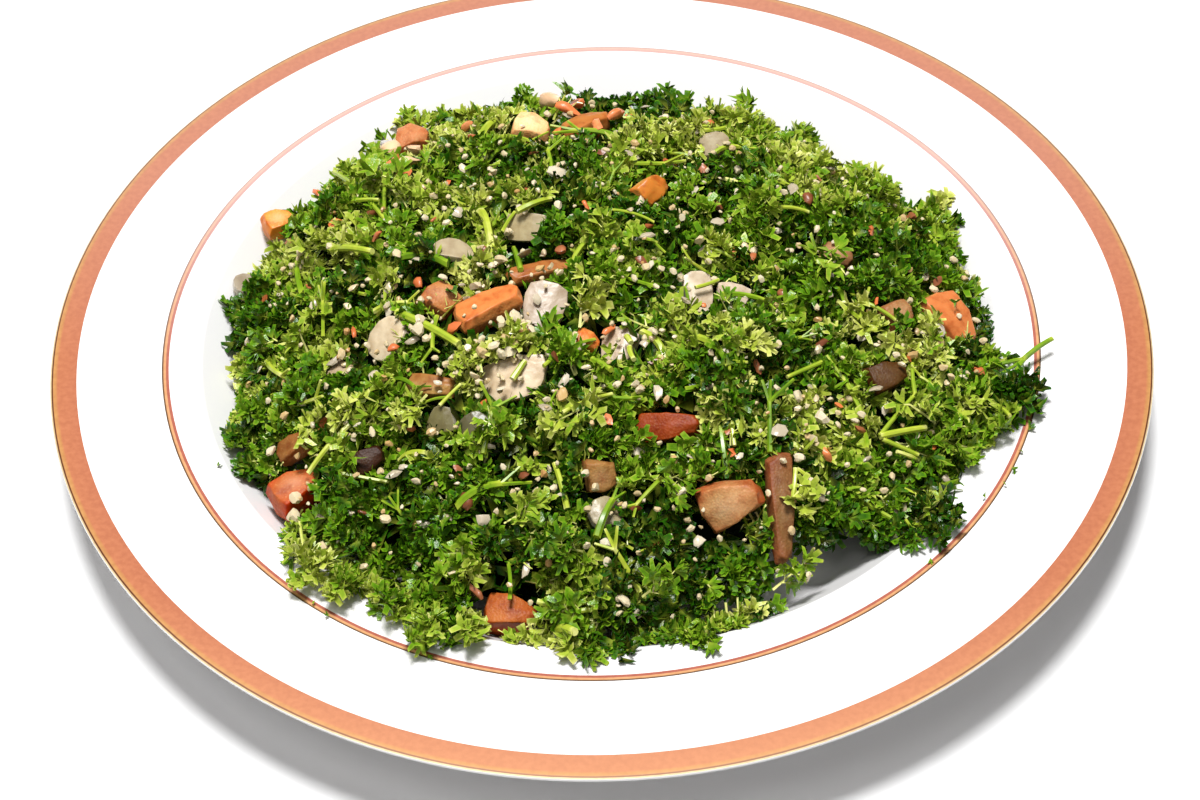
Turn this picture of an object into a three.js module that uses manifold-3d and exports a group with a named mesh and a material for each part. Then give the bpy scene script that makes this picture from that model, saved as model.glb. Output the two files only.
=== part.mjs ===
// Tabbouleh salad heaped on a round dinner plate, in millimetres, +Z up.
// The origin is on the plate's axis, at the surface that the plate stands on; -Y is the diner's side.
//
// The plate is a thin moulded plate with a wide rim and a sunken well. The salad is one heap: a bare
// core that follows the well, with curly parsley leaves, cut stalks and grains of bulgur fused to it.
// The diced tomato and onion that lie in its surface are pieces of their own, each in its own socket.
import * as THREE from "three";
import { mergeVertices } from "three/addons/utils/BufferGeometryUtils.js";
import Module from "manifold-3d";

const wasm = await Module();
wasm.setup();

// Driving dimensions
const PLATE_RADIUS = 130;
const PLATE_HEIGHT = 20;
const PLATE_WALL = 1.6;
const FOOT_RADIUS = 70;
const FOOT_WIDTH = 3.5;
const FOOT_HEIGHT = 1.4;
const WELL_FLOOR_RADIUS = 84.5;
const WELL_TOP_RADIUS = 95.5;
const WELL_TOP_Z = 16.2;
const PLATE_SEGMENTS = 64;

const HEAP_CENTRE = { x: 3, y: -5 };
const HEAP_RADIUS = 85.5;
const HEAP_EDGE_Z = 13.5;
const HEAP_PEAK_Z = 33.5;
const LEAF_TOP_Z = 42;
const HEAP_SECTORS = 36;
const HEAP_RINGS = 7;
const GAP = 0.35; // left between the heap and what it touches

const LEAF_THICKNESS = 0.8;
const RIM_LEAVES = { count: 30, lobes: 4, least: 13, most: 17 };
const LARGE_LEAVES = { count: 42, lobes: 5, least: 12.5, most: 16 };
const SMALL_LEAVES = { count: 58, lobes: 3, least: 9, most: 12.5 };
const STALK_WIDTH = 1.8;
const STALK_COUNT = 14;
const GRAIN_SIZE = 3;
const GRAIN_COUNT = 26;

// The heap's outline in plan: each lobe adds amplitude * cos(harmonic * angle - phase) to its radius.
const OUTLINE_LOBES = [
  { harmonic: 2, amplitude: 0.016, phase: 0.43 },
  { harmonic: 3, amplitude: 0.012, phase: -0.5 },
  { harmonic: 4, amplitude: 0.014, phase: -1.46 },
  { harmonic: 7, amplitude: 0.008, phase: 1.2 },
];

// Hillocks of the heap's surface: wave length, height and heading of each swell.
const SWELLS = [
  { length: 46, height: 1.5, heading: 0.5, phase: 0.4 },
  { length: 33, height: 1.2, heading: 2.1, phase: 2.0 },
  { length: 21, height: 0.9, heading: 1.2, phase: 4.1 },
  { length: 17, height: 0.7, heading: 2.8, phase: 1.1 },
];

// Diced tomato: place in plan, length, width and thickness, then turn, tip and lean in degrees,
// and how much of the thickness is sunk in the heap.
const TOMATO = [
  { x: -69.5, y: -48.5, z: 14.8, size: [12.5, 10.5, 7.5], turn: 35, tip: -4, lean: 0, sink: 0 },
  { x: -21.4, y: -83.6, z: 12.8, size: [12, 9, 8], turn: -12, tip: 12, lean: 0, sink: 0 },
  { x: 15, y: -45.7, size: [15, 8, 8], turn: -4, tip: 10, lean: 0, sink: 0.3 },
  { x: 27, y: -64.9, size: [14, 12, 8], turn: 20, tip: 25, lean: -8, sink: 0.35 },
  { x: 37.4, y: -65.2, size: [25, 6.5, 5], turn: -86, tip: 0, lean: 0, sink: 0.3 },
  { x: -25.3, y: -12.1, size: [17, 9, 6], turn: 24, tip: 15, lean: -6, sink: 0.35 },
  { x: -36.9, y: -6.5, size: [9, 9, 6], turn: -35, tip: 12, lean: 8, sink: 0.4 },
  { x: -12.5, y: 2.8, size: [19, 5, 4], turn: 16, tip: 10, lean: 0, sink: 0.4 },
  { x: 12.6, y: 29, size: [9, 7, 6], turn: 50, tip: 15, lean: 10, sink: 0.35 },
  { x: 81.8, y: -7.2, size: [15, 12, 6], turn: -50, tip: 15, lean: 0, sink: 0.35 },
  { x: -47, y: 67.7, size: [9, 9, 10], turn: 8, tip: 5, lean: 0, sink: 0.3 },
  { x: -80, y: 39, z: 16.2, size: [8, 7.5, 5.5], turn: 25, tip: 0, lean: 12, sink: 0 },
  { x: -15.8, y: 57.2, size: [10, 9, 7], turn: -20, tip: 10, lean: 0, sink: 0.35 },
  { x: -1.8, y: 60.4, size: [14, 7, 6], turn: 30, tip: 10, lean: 0, sink: 0.35 },
  { x: -38.2, y: -31.9, size: [12, 6, 4.5], turn: -18, tip: 15, lean: 0, sink: 0.35 },
  { x: -69, y: -39.5, size: [10, 6, 5], turn: 8, tip: 10, lean: 0, sink: 0.35 },
  { x: -53.2, y: -47.7, size: [9, 7, 5], turn: 25, tip: 25, lean: 0, sink: 0.4 },
  { x: 56.2, y: 4.8, size: [8, 7, 5], turn: -20, tip: 15, lean: 0, sink: 0.35 },
  { x: 68.1, y: -12.7, size: [8, 7, 5], turn: 40, tip: 15, lean: 0, sink: 0.35 },
  { x: -3.6, y: -19.6, size: [6, 5.5, 5], turn: -25, tip: 10, lean: 10, sink: 0.35 },
  { x: -1.3, y: -58.7, size: [7.5, 8, 5], turn: 10, tip: 25, lean: 0, sink: 0.4 },
  { x: 64.5, y: -29.7, size: [10, 8, 5], turn: 30, tip: 20, lean: 0, sink: 0.45 },
];

// Diced onion: the same, for slices of a curved layer.
const ONION = [
  { x: -12.7, y: -9.9, size: [10, 12, 2.2], turn: -20, tip: 15, lean: 10, sink: 0.2 },
  { x: -19.8, y: -31.6, size: [15, 10, 2.0], turn: 5, tip: 15, lean: -5, sink: 0.2 },
  { x: 23, y: -6, size: [6.8, 10.5, 2], turn: 12, tip: 20, lean: 0, sink: 0.2 },
  { x: 31, y: -8.7, size: [6.8, 8, 2.2], turn: -8, tip: 15, lean: 8, sink: 0.2 },
  { x: 4.2, y: -21.9, size: [8, 9, 2], turn: -25, tip: 18, lean: 12, sink: 0.2 },
  { x: -48.8, y: -14.9, size: [11, 9, 2.2], turn: 30, tip: 15, lean: 0, sink: 0.2 },
  { x: -59.9, y: -20.8, size: [7, 7, 2.2], turn: 10, tip: 10, lean: 0, sink: 0.2 },
  { x: -35.8, y: -41, size: [6, 6, 2], turn: -15, tip: 22, lean: 0, sink: 0.3 },
  { x: -28.4, y: -44.2, size: [7, 6, 2], turn: 20, tip: 15, lean: 0, sink: 0.3 },
  { x: -0.4, y: -67.4, size: [7.5, 7, 2], turn: 25, tip: 10, lean: 0, sink: 0.2 },
  { x: -11.8, y: -74.4, size: [7.5, 7.5, 2.4], turn: 12, tip: 15, lean: 0, sink: 0.3 },
  { x: -34.4, y: 8.7, size: [10, 6, 2.0], turn: 0, tip: 15, lean: 0, sink: 0.2 },
  { x: -16.6, y: 16.5, size: [10, 7, 2.2], turn: -15, tip: 15, lean: 0, sink: 0.2 },
  { x: 30.1, y: 45.9, size: [8, 7, 2.2], turn: 10, tip: 12, lean: 0, sink: 0.2 },
  { x: -56.5, y: 62.8, size: [7.5, 5.5, 2], turn: 25, tip: 5, lean: 0, sink: 0.2 },
  { x: -86.5, y: 19, z: 14.5, size: [7, 6.5, 2.2], turn: 5, tip: 0, lean: 15, sink: 0 },
];

// A forked stalk that reaches out of the heap over the plate's rim.
const FORKED_STALK = {
  root: [84, -20, 14.5],
  fork: [99, -19, 20],
  tip: [106, -14.5, 22.5],
  second: [95.5, -24, 17.8],
  width: 1.6,
};

// Shared helpers

// A seeded generator of numbers from 0 to 1, so that the heap comes out the same every time.
function seeded(seed) {
  let state = seed >>> 0;
  return () => {
    state = (state + 0x6d2b79f5) >>> 0;
    let t = Math.imul(state ^ (state >>> 15), 1 | state);
    t = (t + Math.imul(t ^ (t >>> 7), 61 | t)) ^ t;
    return ((t ^ (t >>> 14)) >>> 0) / 4294967296;
  };
}

function between(random, least, most) {
  return least + (most - least) * random();
}

// A closed geometry as a manifold-3d solid, placed by a matrix.
function solidOf(geometry, matrix = new THREE.Matrix4()) {
  const bare = new THREE.BufferGeometry();
  const flat = geometry.index ? geometry.toNonIndexed() : geometry.clone();
  bare.setAttribute("position", flat.getAttribute("position"));
  bare.applyMatrix4(matrix);
  const merged = mergeVertices(bare, 1e-3);
  return new wasm.Manifold(
    new wasm.Mesh({
      numProp: 3,
      vertProperties: merged.attributes.position.array,
      triVerts: new Uint32Array(merged.index.array),
    }),
  );
}

function geometryOf(solid) {
  const mesh = solid.getMesh();
  const stride = mesh.numProp;
  const positions = new Float32Array(mesh.numVert * 3);
  for (let i = 0; i < mesh.numVert; i++) {
    positions.set(mesh.vertProperties.subarray(i * stride, i * stride + 3), i * 3);
  }
  const geometry = new THREE.BufferGeometry();
  geometry.setAttribute("position", new THREE.BufferAttribute(positions, 3));
  geometry.setIndex(new THREE.BufferAttribute(mesh.triVerts, 1));
  return geometry;
}

function geometryFrom(points, faces) {
  const geometry = new THREE.BufferGeometry();
  geometry.setAttribute("position", new THREE.Float32BufferAttribute(points.flat(), 3));
  geometry.setIndex(faces.flat());
  return geometry;
}

// The largest body of a solid: loose scraps and the walls of sealed hollows are left out.
function largestBody(solid) {
  return solid.decompose().reduce((a, b) => (a.volume() >= b.volume() ? a : b));
}

// Plate

// A polyline of [radius, z, fillet] corners, with an arc in place of each corner that has a fillet.
function rounded(corners, steps = 3) {
  const points = [];
  corners.forEach(([r, z, fillet], i) => {
    if (!fillet) {
      points.push(new THREE.Vector2(r, z));
      return;
    }
    const corner = new THREE.Vector2(r, z);
    const back = new THREE.Vector2(...corners[i - 1].slice(0, 2)).sub(corner).normalize();
    const ahead = new THREE.Vector2(...corners[i + 1].slice(0, 2)).sub(corner).normalize();
    const half = Math.acos(THREE.MathUtils.clamp(back.dot(ahead), -1, 1)) / 2;
    const reach = fillet / Math.tan(half);
    const from = corner.clone().addScaledVector(back, reach);
    const to = corner.clone().addScaledVector(ahead, reach);
    const arc = new THREE.QuadraticBezierCurve(from, corner, to);
    points.push(...arc.getPoints(steps - 1));
  });
  return points;
}

const FLOOR_Z = FOOT_HEIGHT + PLATE_WALL;

// The plate's upper face, from the axis to the rim.
const UPPER_CORNERS = [
  [0, FLOOR_Z],
  [WELL_FLOOR_RADIUS, FLOOR_Z, 8],
  [WELL_TOP_RADIUS, WELL_TOP_Z, 2.4],
  [PLATE_RADIUS - 0.6, PLATE_HEIGHT],
];
const UPPER_FACE = rounded(UPPER_CORNERS, 4);

function upperFaceZ(radius) {
  const i = Math.max(1, UPPER_FACE.findIndex((p) => p.x >= radius));
  const [a, b] = [UPPER_FACE[i - 1], UPPER_FACE[i]];
  return a.y + ((b.y - a.y) * (radius - a.x)) / (b.x - a.x);
}

// A closed profile turned about the plate's axis.
function revolved(profile) {
  return new THREE.LatheGeometry(profile, PLATE_SEGMENTS).rotateX(Math.PI / 2);
}

function plateGeometry() {
  const lower = rounded(
    [
      [0, FOOT_HEIGHT],
      [FOOT_RADIUS - FOOT_WIDTH, FOOT_HEIGHT],
      [FOOT_RADIUS - FOOT_WIDTH, 0],
      [FOOT_RADIUS, 0],
      [FOOT_RADIUS, FOOT_HEIGHT],
      [WELL_FLOOR_RADIUS + 0.8, FOOT_HEIGHT, 9],
      [WELL_TOP_RADIUS + 1, WELL_TOP_Z - PLATE_WALL, 1.5],
      [PLATE_RADIUS - 0.5, PLATE_HEIGHT - PLATE_WALL],
      [PLATE_RADIUS, PLATE_HEIGHT - PLATE_WALL / 2],
    ],
    2,
  );
  return revolved([...lower, ...UPPER_FACE.toReversed()]);
}

// Heap

function outlineRadius(angle) {
  const lobes = OUTLINE_LOBES.map((l) => l.amplitude * Math.cos(l.harmonic * angle - l.phase));
  return HEAP_RADIUS * (1 + lobes.reduce((a, b) => a + b));
}

function swell(x, y) {
  const heights = SWELLS.map(({ length, height, heading, phase }) => {
    const along = x * Math.cos(heading) + y * Math.sin(heading);
    return height * Math.sin((2 * Math.PI * along) / length + phase);
  });
  return heights.reduce((a, b) => a + b);
}

// The height of the bare core's surface at a place in plan.
function heapZ(x, y) {
  const dx = x - HEAP_CENTRE.x;
  const dy = y - HEAP_CENTRE.y;
  const share = Math.min(1, Math.hypot(dx, dy) / outlineRadius(Math.atan2(dy, dx)));
  const dome = Math.pow(1 - Math.pow(share, 2.8), 0.75);
  const top = HEAP_EDGE_Z + (HEAP_PEAK_Z - HEAP_EDGE_Z) * dome + swell(x, y) * (1 - share ** 6);
  return Math.max(top, upperFaceZ(Math.hypot(x, y)) + 2.5);
}

function heapNormal(x, y) {
  const step = 2;
  const slopeX = (heapZ(x + step, y) - heapZ(x - step, y)) / (2 * step);
  const slopeY = (heapZ(x, y + step) - heapZ(x, y - step)) / (2 * step);
  return new THREE.Vector3(-slopeX, -slopeY, 1).normalize();
}

// The bare core: a domed top over a straight side, cut to the plate's upper face.
function coreSolid() {
  const points = [];
  const faces = [];
  const ring = (share, height) => {
    const first = points.length;
    for (let s = 0; s < HEAP_SECTORS; s++) {
      const angle = (2 * Math.PI * s) / HEAP_SECTORS;
      const radius = share * outlineRadius(angle);
      const x = HEAP_CENTRE.x + radius * Math.cos(angle);
      const y = HEAP_CENTRE.y + radius * Math.sin(angle);
      points.push([x, y, height(x, y)]);
    }
    return first;
  };
  const { x, y } = HEAP_CENTRE;
  points.push([x, y, heapZ(x, y)], [x, y, -1]);
  const shares = Array.from({ length: HEAP_RINGS }, (_, i) => ((i + 1) / HEAP_RINGS) ** 0.8);
  const rings = shares.map((share) => ring(share, heapZ));
  rings.push(ring(1, () => -1));
  for (let s = 0; s < HEAP_SECTORS; s++) {
    const next = (s + 1) % HEAP_SECTORS;
    faces.push([0, rings[0] + s, rings[0] + next]);
    faces.push([1, rings.at(-1) + next, rings.at(-1) + s]);
    for (let i = 1; i < rings.length; i++) {
      const [inner, outer] = [rings[i - 1], rings[i]];
      faces.push([inner + s, outer + s, outer + next]);
      faces.push([inner + s, outer + next, inner + next]);
    }
  }
  const face = rounded(UPPER_CORNERS, 2).map((p) => new THREE.Vector2(p.x, p.y + 1.5 * GAP));
  const profile = [new THREE.Vector2(0, -2), new THREE.Vector2(face.at(-1).x, -2), ...face.reverse()];
  return solidOf(geometryFrom(points, faces)).subtract(solidOf(revolved(profile)));
}

// A frame on the heap's surface: +Z out of the heap, +X turned about it, then tipped and leaned.
function placeOnHeap({ x, y, z, turn, tip, lean }, height) {
  const degrees = THREE.MathUtils.degToRad;
  const normal = z === undefined ? heapNormal(x, y) : new THREE.Vector3(0, 0, 1);
  const out = new THREE.Quaternion().setFromUnitVectors(new THREE.Vector3(0, 0, 1), normal);
  const own = new THREE.Quaternion()
    .setFromEuler(new THREE.Euler(degrees(tip), degrees(lean), 0))
    .multiply(new THREE.Quaternion().setFromEuler(new THREE.Euler(0, 0, degrees(turn))));
  const place = new THREE.Vector3(x, y, z ?? heapZ(x, y)).addScaledVector(normal, height);
  return { position: place, quaternion: out.multiply(own) };
}

// Diced tomato: a block with rounded corners, an arched skin side and a narrower end.
function tomatoGeometry([length, width, thickness], seed) {
  const random = seeded(seed);
  const taper = between(random, 0.15, 0.5);
  const arch = between(random, 0.06, 0.14);
  const skew = between(random, -0.2, 0.2);
  const geometry = new THREE.BoxGeometry(1, 1, 1, 2, 2, 2);
  const position = geometry.getAttribute("position");
  for (let i = 0; i < position.count; i++) {
    const u = 2 * position.getX(i);
    const v = 2 * position.getY(i);
    const w = 2 * position.getZ(i);
    const corner = 1 - 0.07 * (u * u * v * v + v * v * w * w + w * w * u * u);
    const narrow = 1 - taper * (0.5 + 0.5 * u);
    position.setXYZ(
      i,
      (u * corner + skew * v * 0.5) * (length / 2),
      v * corner * narrow * (width / 2),
      (w * corner + arch * (1 - u * u) * (1 + w)) * (thickness / 2),
    );
  }
  return geometry;
}

// Diced onion: a piece of one curved layer, cut to an uneven outline.
function onionGeometry([length, width, thickness], seed) {
  const random = seeded(seed);
  const taper = between(random, -0.45, 0.45);
  const bow = between(random, 0.1, 0.2);
  const cut = between(random, 0.1, 0.3);
  const geometry = new THREE.BoxGeometry(1, 1, 1, 3, 3, 1);
  const position = geometry.getAttribute("position");
  for (let i = 0; i < position.count; i++) {
    const u = 2 * position.getX(i);
    const v = 2 * position.getY(i);
    const w = 2 * position.getZ(i);
    const corner = 1 - cut * u * u * v * v;
    const x = u * corner * (1 + taper * v) * (length / 2);
    const y = v * corner * (width / 2);
    position.setXYZ(i, x, y, w * (thickness / 2) - bow * length * 0.5 * (u * u - 0.5));
  }
  return geometry;
}

// One curly parsley leaf: a short stalk and a lobed blade whose edge ripples up and down.
// +X runs from the stalk to the tip, and +Z is the upper face.
function leafGeometry(length, lobes, random) {
  const spread = THREE.MathUtils.degToRad(150);
  const bladeRadius = length * 0.36;
  const middle = length * 0.6;
  const ripple = bladeRadius * between(random, 0.15, 0.3);
  const cup = bladeRadius * between(random, 0.25, 0.5);
  const rim = [[0, -0.8, 0]];
  for (let i = 0; i <= 2 * lobes; i++) {
    const tip = i % 2 === 0;
    const angle = -spread + (2 * spread * i) / (2 * lobes) + between(random, -0.08, 0.08);
    const radius = bladeRadius * (tip ? between(random, 1.0, 1.25) : between(random, 0.6, 0.75));
    const z = cup + (tip ? ripple : -ripple) * between(random, 0.5, 1.2);
    rim.push([middle + radius * Math.cos(angle), radius * Math.sin(angle), z]);
  }
  rim.push([0, 0.8, 0]);
  const upper = [[middle, 0, 0], ...rim];
  const lower = upper.map(([x, y, z]) => [x, y, z - LEAF_THICKNESS]);
  const n = upper.length;
  const faces = [];
  for (let i = 1; i < n; i++) {
    const j = i === n - 1 ? 1 : i + 1;
    faces.push([0, i, j], [n, n + j, n + i]);
    faces.push([i, n + i, n + j], [i, n + j, j]);
  }
  return geometryFrom([...upper, ...lower], faces);
}

// A cut stalk: a straight bar of square section between two points.
function stalkSolid(from, to, width) {
  const a = new THREE.Vector3(...from);
  const b = new THREE.Vector3(...to);
  const along = b.clone().sub(a);
  const turn = new THREE.Quaternion().setFromUnitVectors(
    new THREE.Vector3(0, 0, 1),
    along.clone().normalize(),
  );
  const matrix = new THREE.Matrix4().compose(
    a.clone().add(b).multiplyScalar(0.5),
    turn,
    new THREE.Vector3(1, 1, 1),
  );
  return solidOf(new THREE.BoxGeometry(width, width, along.length()), matrix);
}

function forkedStalk({ root, fork, tip, second, width }) {
  return [
    stalkSolid(root, fork, width),
    stalkSolid(fork, tip, width),
    stalkSolid(fork, second, width * 0.8),
  ];
}

// Places spread evenly over the heap, from its middle to its edge, as seeds are in a sunflower.
function spreadPlaces(count, random, reach = 1) {
  const goldenAngle = Math.PI * (3 - Math.sqrt(5));
  return Array.from({ length: count }, (_, i) => {
    const angle = i * goldenAngle + between(random, -0.15, 0.15);
    const share = Math.sqrt((i + 0.5) / count) * reach;
    const radius = share * outlineRadius(angle);
    const x = HEAP_CENTRE.x + radius * Math.cos(angle);
    const y = HEAP_CENTRE.y + radius * Math.sin(angle);
    return { x, y, angle, share };
  });
}

// Places along the heap's edge, evenly round it.
function rimPlaces(count, random) {
  return Array.from({ length: count }, (_, i) => {
    const angle = (2 * Math.PI * (i + between(random, -0.25, 0.25))) / count;
    const share = between(random, 0.93, 0.97);
    const radius = share * outlineRadius(angle);
    const x = HEAP_CENTRE.x + radius * Math.cos(angle);
    const y = HEAP_CENTRE.y + radius * Math.sin(angle);
    return { x, y, angle, share };
  });
}

// A leaf or stalk rooted in the heap: it starts under the surface and rises out of it. At the edge
// it points outwards, and its rise is from the level, so that it clears the plate.
function rooted({ x, y, angle, share }, random, depth) {
  const edge = share > 0.85;
  const normal = edge ? new THREE.Vector3(0, 0, 1) : heapNormal(x, y);
  const heading = edge ? angle + between(random, -0.6, 0.6) : 2 * Math.PI * random();
  const level = new THREE.Vector3(Math.cos(heading), Math.sin(heading), 0);
  const along = level.addScaledVector(normal, -level.dot(normal)).normalize();
  const lift = THREE.MathUtils.degToRad(edge ? between(random, 4, 26) : between(random, 22, 34));
  const ahead = along
    .clone()
    .multiplyScalar(Math.cos(lift))
    .addScaledVector(normal, Math.sin(lift));
  const side = normal.clone().cross(ahead).normalize();
  side.applyAxisAngle(ahead, between(random, -0.3, 0.3));
  const up = ahead.clone().cross(side);
  const place = new THREE.Vector3(x, y, heapZ(x, y)).addScaledVector(normal, -depth);
  return new THREE.Matrix4().makeBasis(ahead, side, up).setPosition(place);
}

// One piece at each place: the first of a few draws that is clear of all that is already taken.
function clearPieces(places, taken, draw) {
  const pieces = [];
  places.forEach((place) => {
    for (let attempt = 0; attempt < 5; attempt++) {
      const piece = draw(place);
      const low = piece.boundingBox().max[2] < LEAF_TOP_Z;
      if (low && taken.every((other) => piece.intersect(other).isEmpty())) {
        pieces.push(piece);
        taken.push(piece);
        return;
      }
    }
  });
  return pieces;
}

function leafSolids({ lobes, least, most }, places, random, taken) {
  return clearPieces(places, taken, (place) => {
    const length = between(random, least, most);
    return solidOf(leafGeometry(length, lobes, random), rooted(place, random, 0.8));
  });
}

function stalkSolids(random, taken) {
  return clearPieces(spreadPlaces(STALK_COUNT, random, 0.9), taken, (place) => {
    const matrix = rooted(place, random, 1.2);
    const length = between(random, 11, 19);
    const end = new THREE.Vector3(length * 0.9, 0, -length * 0.3).applyMatrix4(matrix);
    const start = new THREE.Vector3(-1, 0, 0).applyMatrix4(matrix);
    return stalkSolid(start.toArray(), end.toArray(), STALK_WIDTH);
  });
}

function grainSolids(random, taken) {
  return clearPieces(spreadPlaces(GRAIN_COUNT, random, 0.95), taken, ({ x, y }) => {
    const matrix = new THREE.Matrix4().makeRotationFromEuler(
      new THREE.Euler(Math.PI * random(), Math.PI * random(), 0),
    );
    const stretch = new THREE.Matrix4().makeScale(1.25, 0.9, 0.9);
    matrix.multiply(stretch).setPosition(x, y, heapZ(x, y) + 0.5);
    return solidOf(new THREE.IcosahedronGeometry(GRAIN_SIZE / 2, 0), matrix);
  });
}

// The heap: its core with the sockets cut from it, and the pieces that are fused to the core.
function heapSolid(plate, sockets) {
  const random = seeded(7);
  const stalk = forkedStalk(FORKED_STALK);
  const taken = [plate, ...sockets, ...stalk];
  const pieces = [
    ...leafSolids(RIM_LEAVES, rimPlaces(RIM_LEAVES.count, random), random, taken),
    ...leafSolids(LARGE_LEAVES, spreadPlaces(LARGE_LEAVES.count, random, 0.86), random, taken),
    ...leafSolids(SMALL_LEAVES, spreadPlaces(SMALL_LEAVES.count, random, 0.92), random, taken),
    ...stalkSolids(random, taken),
    ...grainSolids(random, taken),
  ];
  const core = coreSolid().subtract(wasm.Manifold.union(sockets));
  return largestBody(wasm.Manifold.union([core, ...stalk, ...pieces]));
}

// Materials

const plateMaterial = new THREE.MeshStandardMaterial({ color: 0xf4f0ee, roughness: 0.25, metalness: 0 });
const parsleyMaterial = new THREE.MeshStandardMaterial({ color: 0x3f6b1c, roughness: 0.5, metalness: 0 });
const tomatoMaterial = new THREE.MeshStandardMaterial({ color: 0xd8663a, roughness: 0.35, metalness: 0 });
const onionMaterial = new THREE.MeshStandardMaterial({ color: 0xd9d2c8, roughness: 0.35, metalness: 0 });

// Assembly

// The room that a topping takes up in the heap: a box around it, with a gap on every side.
function socketSolid(mesh) {
  mesh.geometry.computeBoundingBox();
  const box = mesh.geometry.boundingBox.clone().expandByScalar(GAP);
  const size = box.getSize(new THREE.Vector3());
  const block = new THREE.BoxGeometry(size.x, size.y, size.z);
  block.translate(...box.getCenter(new THREE.Vector3()).toArray());
  return solidOf(block, mesh.matrix);
}

function toppings(kind, rows, makeGeometry, material) {
  return rows.map((row, i) => {
    const name = `${kind}_${String(i + 1).padStart(2, "0")}`;
    const seed = i + 1;
    const height = row.z === undefined ? row.size[2] * (0.5 - row.sink) : 0;
    const { position, quaternion } = placeOnHeap(row, height);
    const mesh = new THREE.Mesh(makeGeometry(row.size, seed), material);
    mesh.name = name;
    mesh.position.copy(position);
    mesh.quaternion.copy(quaternion);
    mesh.updateMatrix();
    return { mesh, socket: socketSolid(mesh) };
  });
}

const salad = new THREE.Group();
const plate = new THREE.Mesh(plateGeometry(), plateMaterial);
plate.name = "plate";
const tomatoes = toppings("tomato", TOMATO, tomatoGeometry, tomatoMaterial);
const onions = toppings("onion", ONION, onionGeometry, onionMaterial);
const sockets = [...tomatoes, ...onions].map((topping) => topping.socket);
const heap = new THREE.Mesh(geometryOf(heapSolid(solidOf(plate.geometry), sockets)), parsleyMaterial);
heap.name = "salad_heap";
salad.add(plate, heap, ...tomatoes.map((t) => t.mesh), ...onions.map((o) => o.mesh));

export default salad;
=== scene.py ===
"""Dresses a packed plate of tabbouleh salad: curly parsley, bulgur, diced tomato and onion."""

import math

import bmesh
import bpy
import numpy as np
from bpy.props import FloatProperty, FloatVectorProperty, IntProperty, PointerProperty
from mathutils import Matrix, Vector, noise


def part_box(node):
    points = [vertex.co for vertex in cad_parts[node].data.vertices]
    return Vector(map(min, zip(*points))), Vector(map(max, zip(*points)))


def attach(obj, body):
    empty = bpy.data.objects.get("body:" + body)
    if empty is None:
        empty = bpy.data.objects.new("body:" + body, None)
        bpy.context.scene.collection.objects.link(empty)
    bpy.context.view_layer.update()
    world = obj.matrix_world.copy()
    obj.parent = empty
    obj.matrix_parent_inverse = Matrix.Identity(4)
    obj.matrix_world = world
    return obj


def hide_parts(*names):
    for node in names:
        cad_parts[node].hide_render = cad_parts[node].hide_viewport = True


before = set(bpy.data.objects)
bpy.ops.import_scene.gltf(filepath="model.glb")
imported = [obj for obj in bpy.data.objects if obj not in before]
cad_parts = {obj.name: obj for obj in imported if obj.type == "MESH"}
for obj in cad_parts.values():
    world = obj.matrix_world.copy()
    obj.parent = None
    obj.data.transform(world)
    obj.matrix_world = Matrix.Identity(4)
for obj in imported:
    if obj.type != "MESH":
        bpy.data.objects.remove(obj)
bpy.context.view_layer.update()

bl_info = {
    "name": "Tabbouleh salad",
    "version": (1, 0, 0),
    "blender": (4, 5, 0),
    "location": "3D View > Sidebar > Salad",
    "description": "Finishes a plate of tabbouleh salad on its packed frame",
    "category": "Object",
}

MM = 0.001
BODY = "root"

# The plate's upper face and underside: radius, height and fillet of each corner, in millimetres.
PLATE_UPPER = (
    (0, 3.0, 0),
    (84.5, 3.0, 8),
    (95.5, 16.2, 2.4),
    (129.3, 20.0, 0.3),
    (130.0, 19.7, 0.25),
)
PLATE_LOWER = (
    (130.0, 19.1, 0.4),
    (129.2, 18.45, 0.5),
    (96.5, 14.6, 2.0),
    (85.3, 1.4, 9),
    (70.3, 1.4, 0.3),
    (70.0, 0.0, 0.4),
    (66.5, 0.0, 0.4),
    (66.2, 1.4, 0.3),
    (0, 1.4, 0),
)
PLATE_STEPS = 192
RING_HALF_WIDTH = 0.8
BAND_OUTER_RADIUS = 129.9
EDGE_Z = 10.0  # below this the plate has no foil
# Colour of the ring and of the band, from the inner edge to the outer one.
RING_STOPS = (
    (0.0, "#B0604C"),
    (0.35, "#A85C48"),
    (0.48, "#D8A070"),
    (0.72, "#D09A68"),
    (0.84, "#5A3A14"),
)
BAND_STOPS = (
    (0.0, "#B66C49"),
    (0.7, "#BA714A"),
    # These paler gold stops along the rim's crest are a painted highlight.
    (0.8, "#BE864A"),
    (0.88, "#C08C50"),
    (0.9, "#64300F"),
    (0.94, "#64300F"),
    (0.96, "#E0CCA0"),
)

# The heap's shape, in millimetres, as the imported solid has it.
HEAP_CENTRE = (3.0, -5.0)
HEAP_RADIUS = 85.5
HEAP_EDGE_Z = 13.5
HEAP_PEAK_Z = 33.5
HEAP_TOP_Z = 42.6  # no leaf or grain reaches above this
# Waves of its outline: how many there are around it, their share of the radius, and their turn.
OUTLINE_LOBES = ((2, 0.016, 0.43), (3, 0.012, -0.5), (4, 0.014, -1.46), (7, 0.008, 1.2))
# Swells of its surface: length and height, and heading and phase in radians.
SWELLS = ((46, 1.5, 0.5, 0.4), (33, 1.2, 2.1, 2.0), (21, 0.9, 1.2, 4.1), (17, 0.7, 2.8, 1.1))

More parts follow.
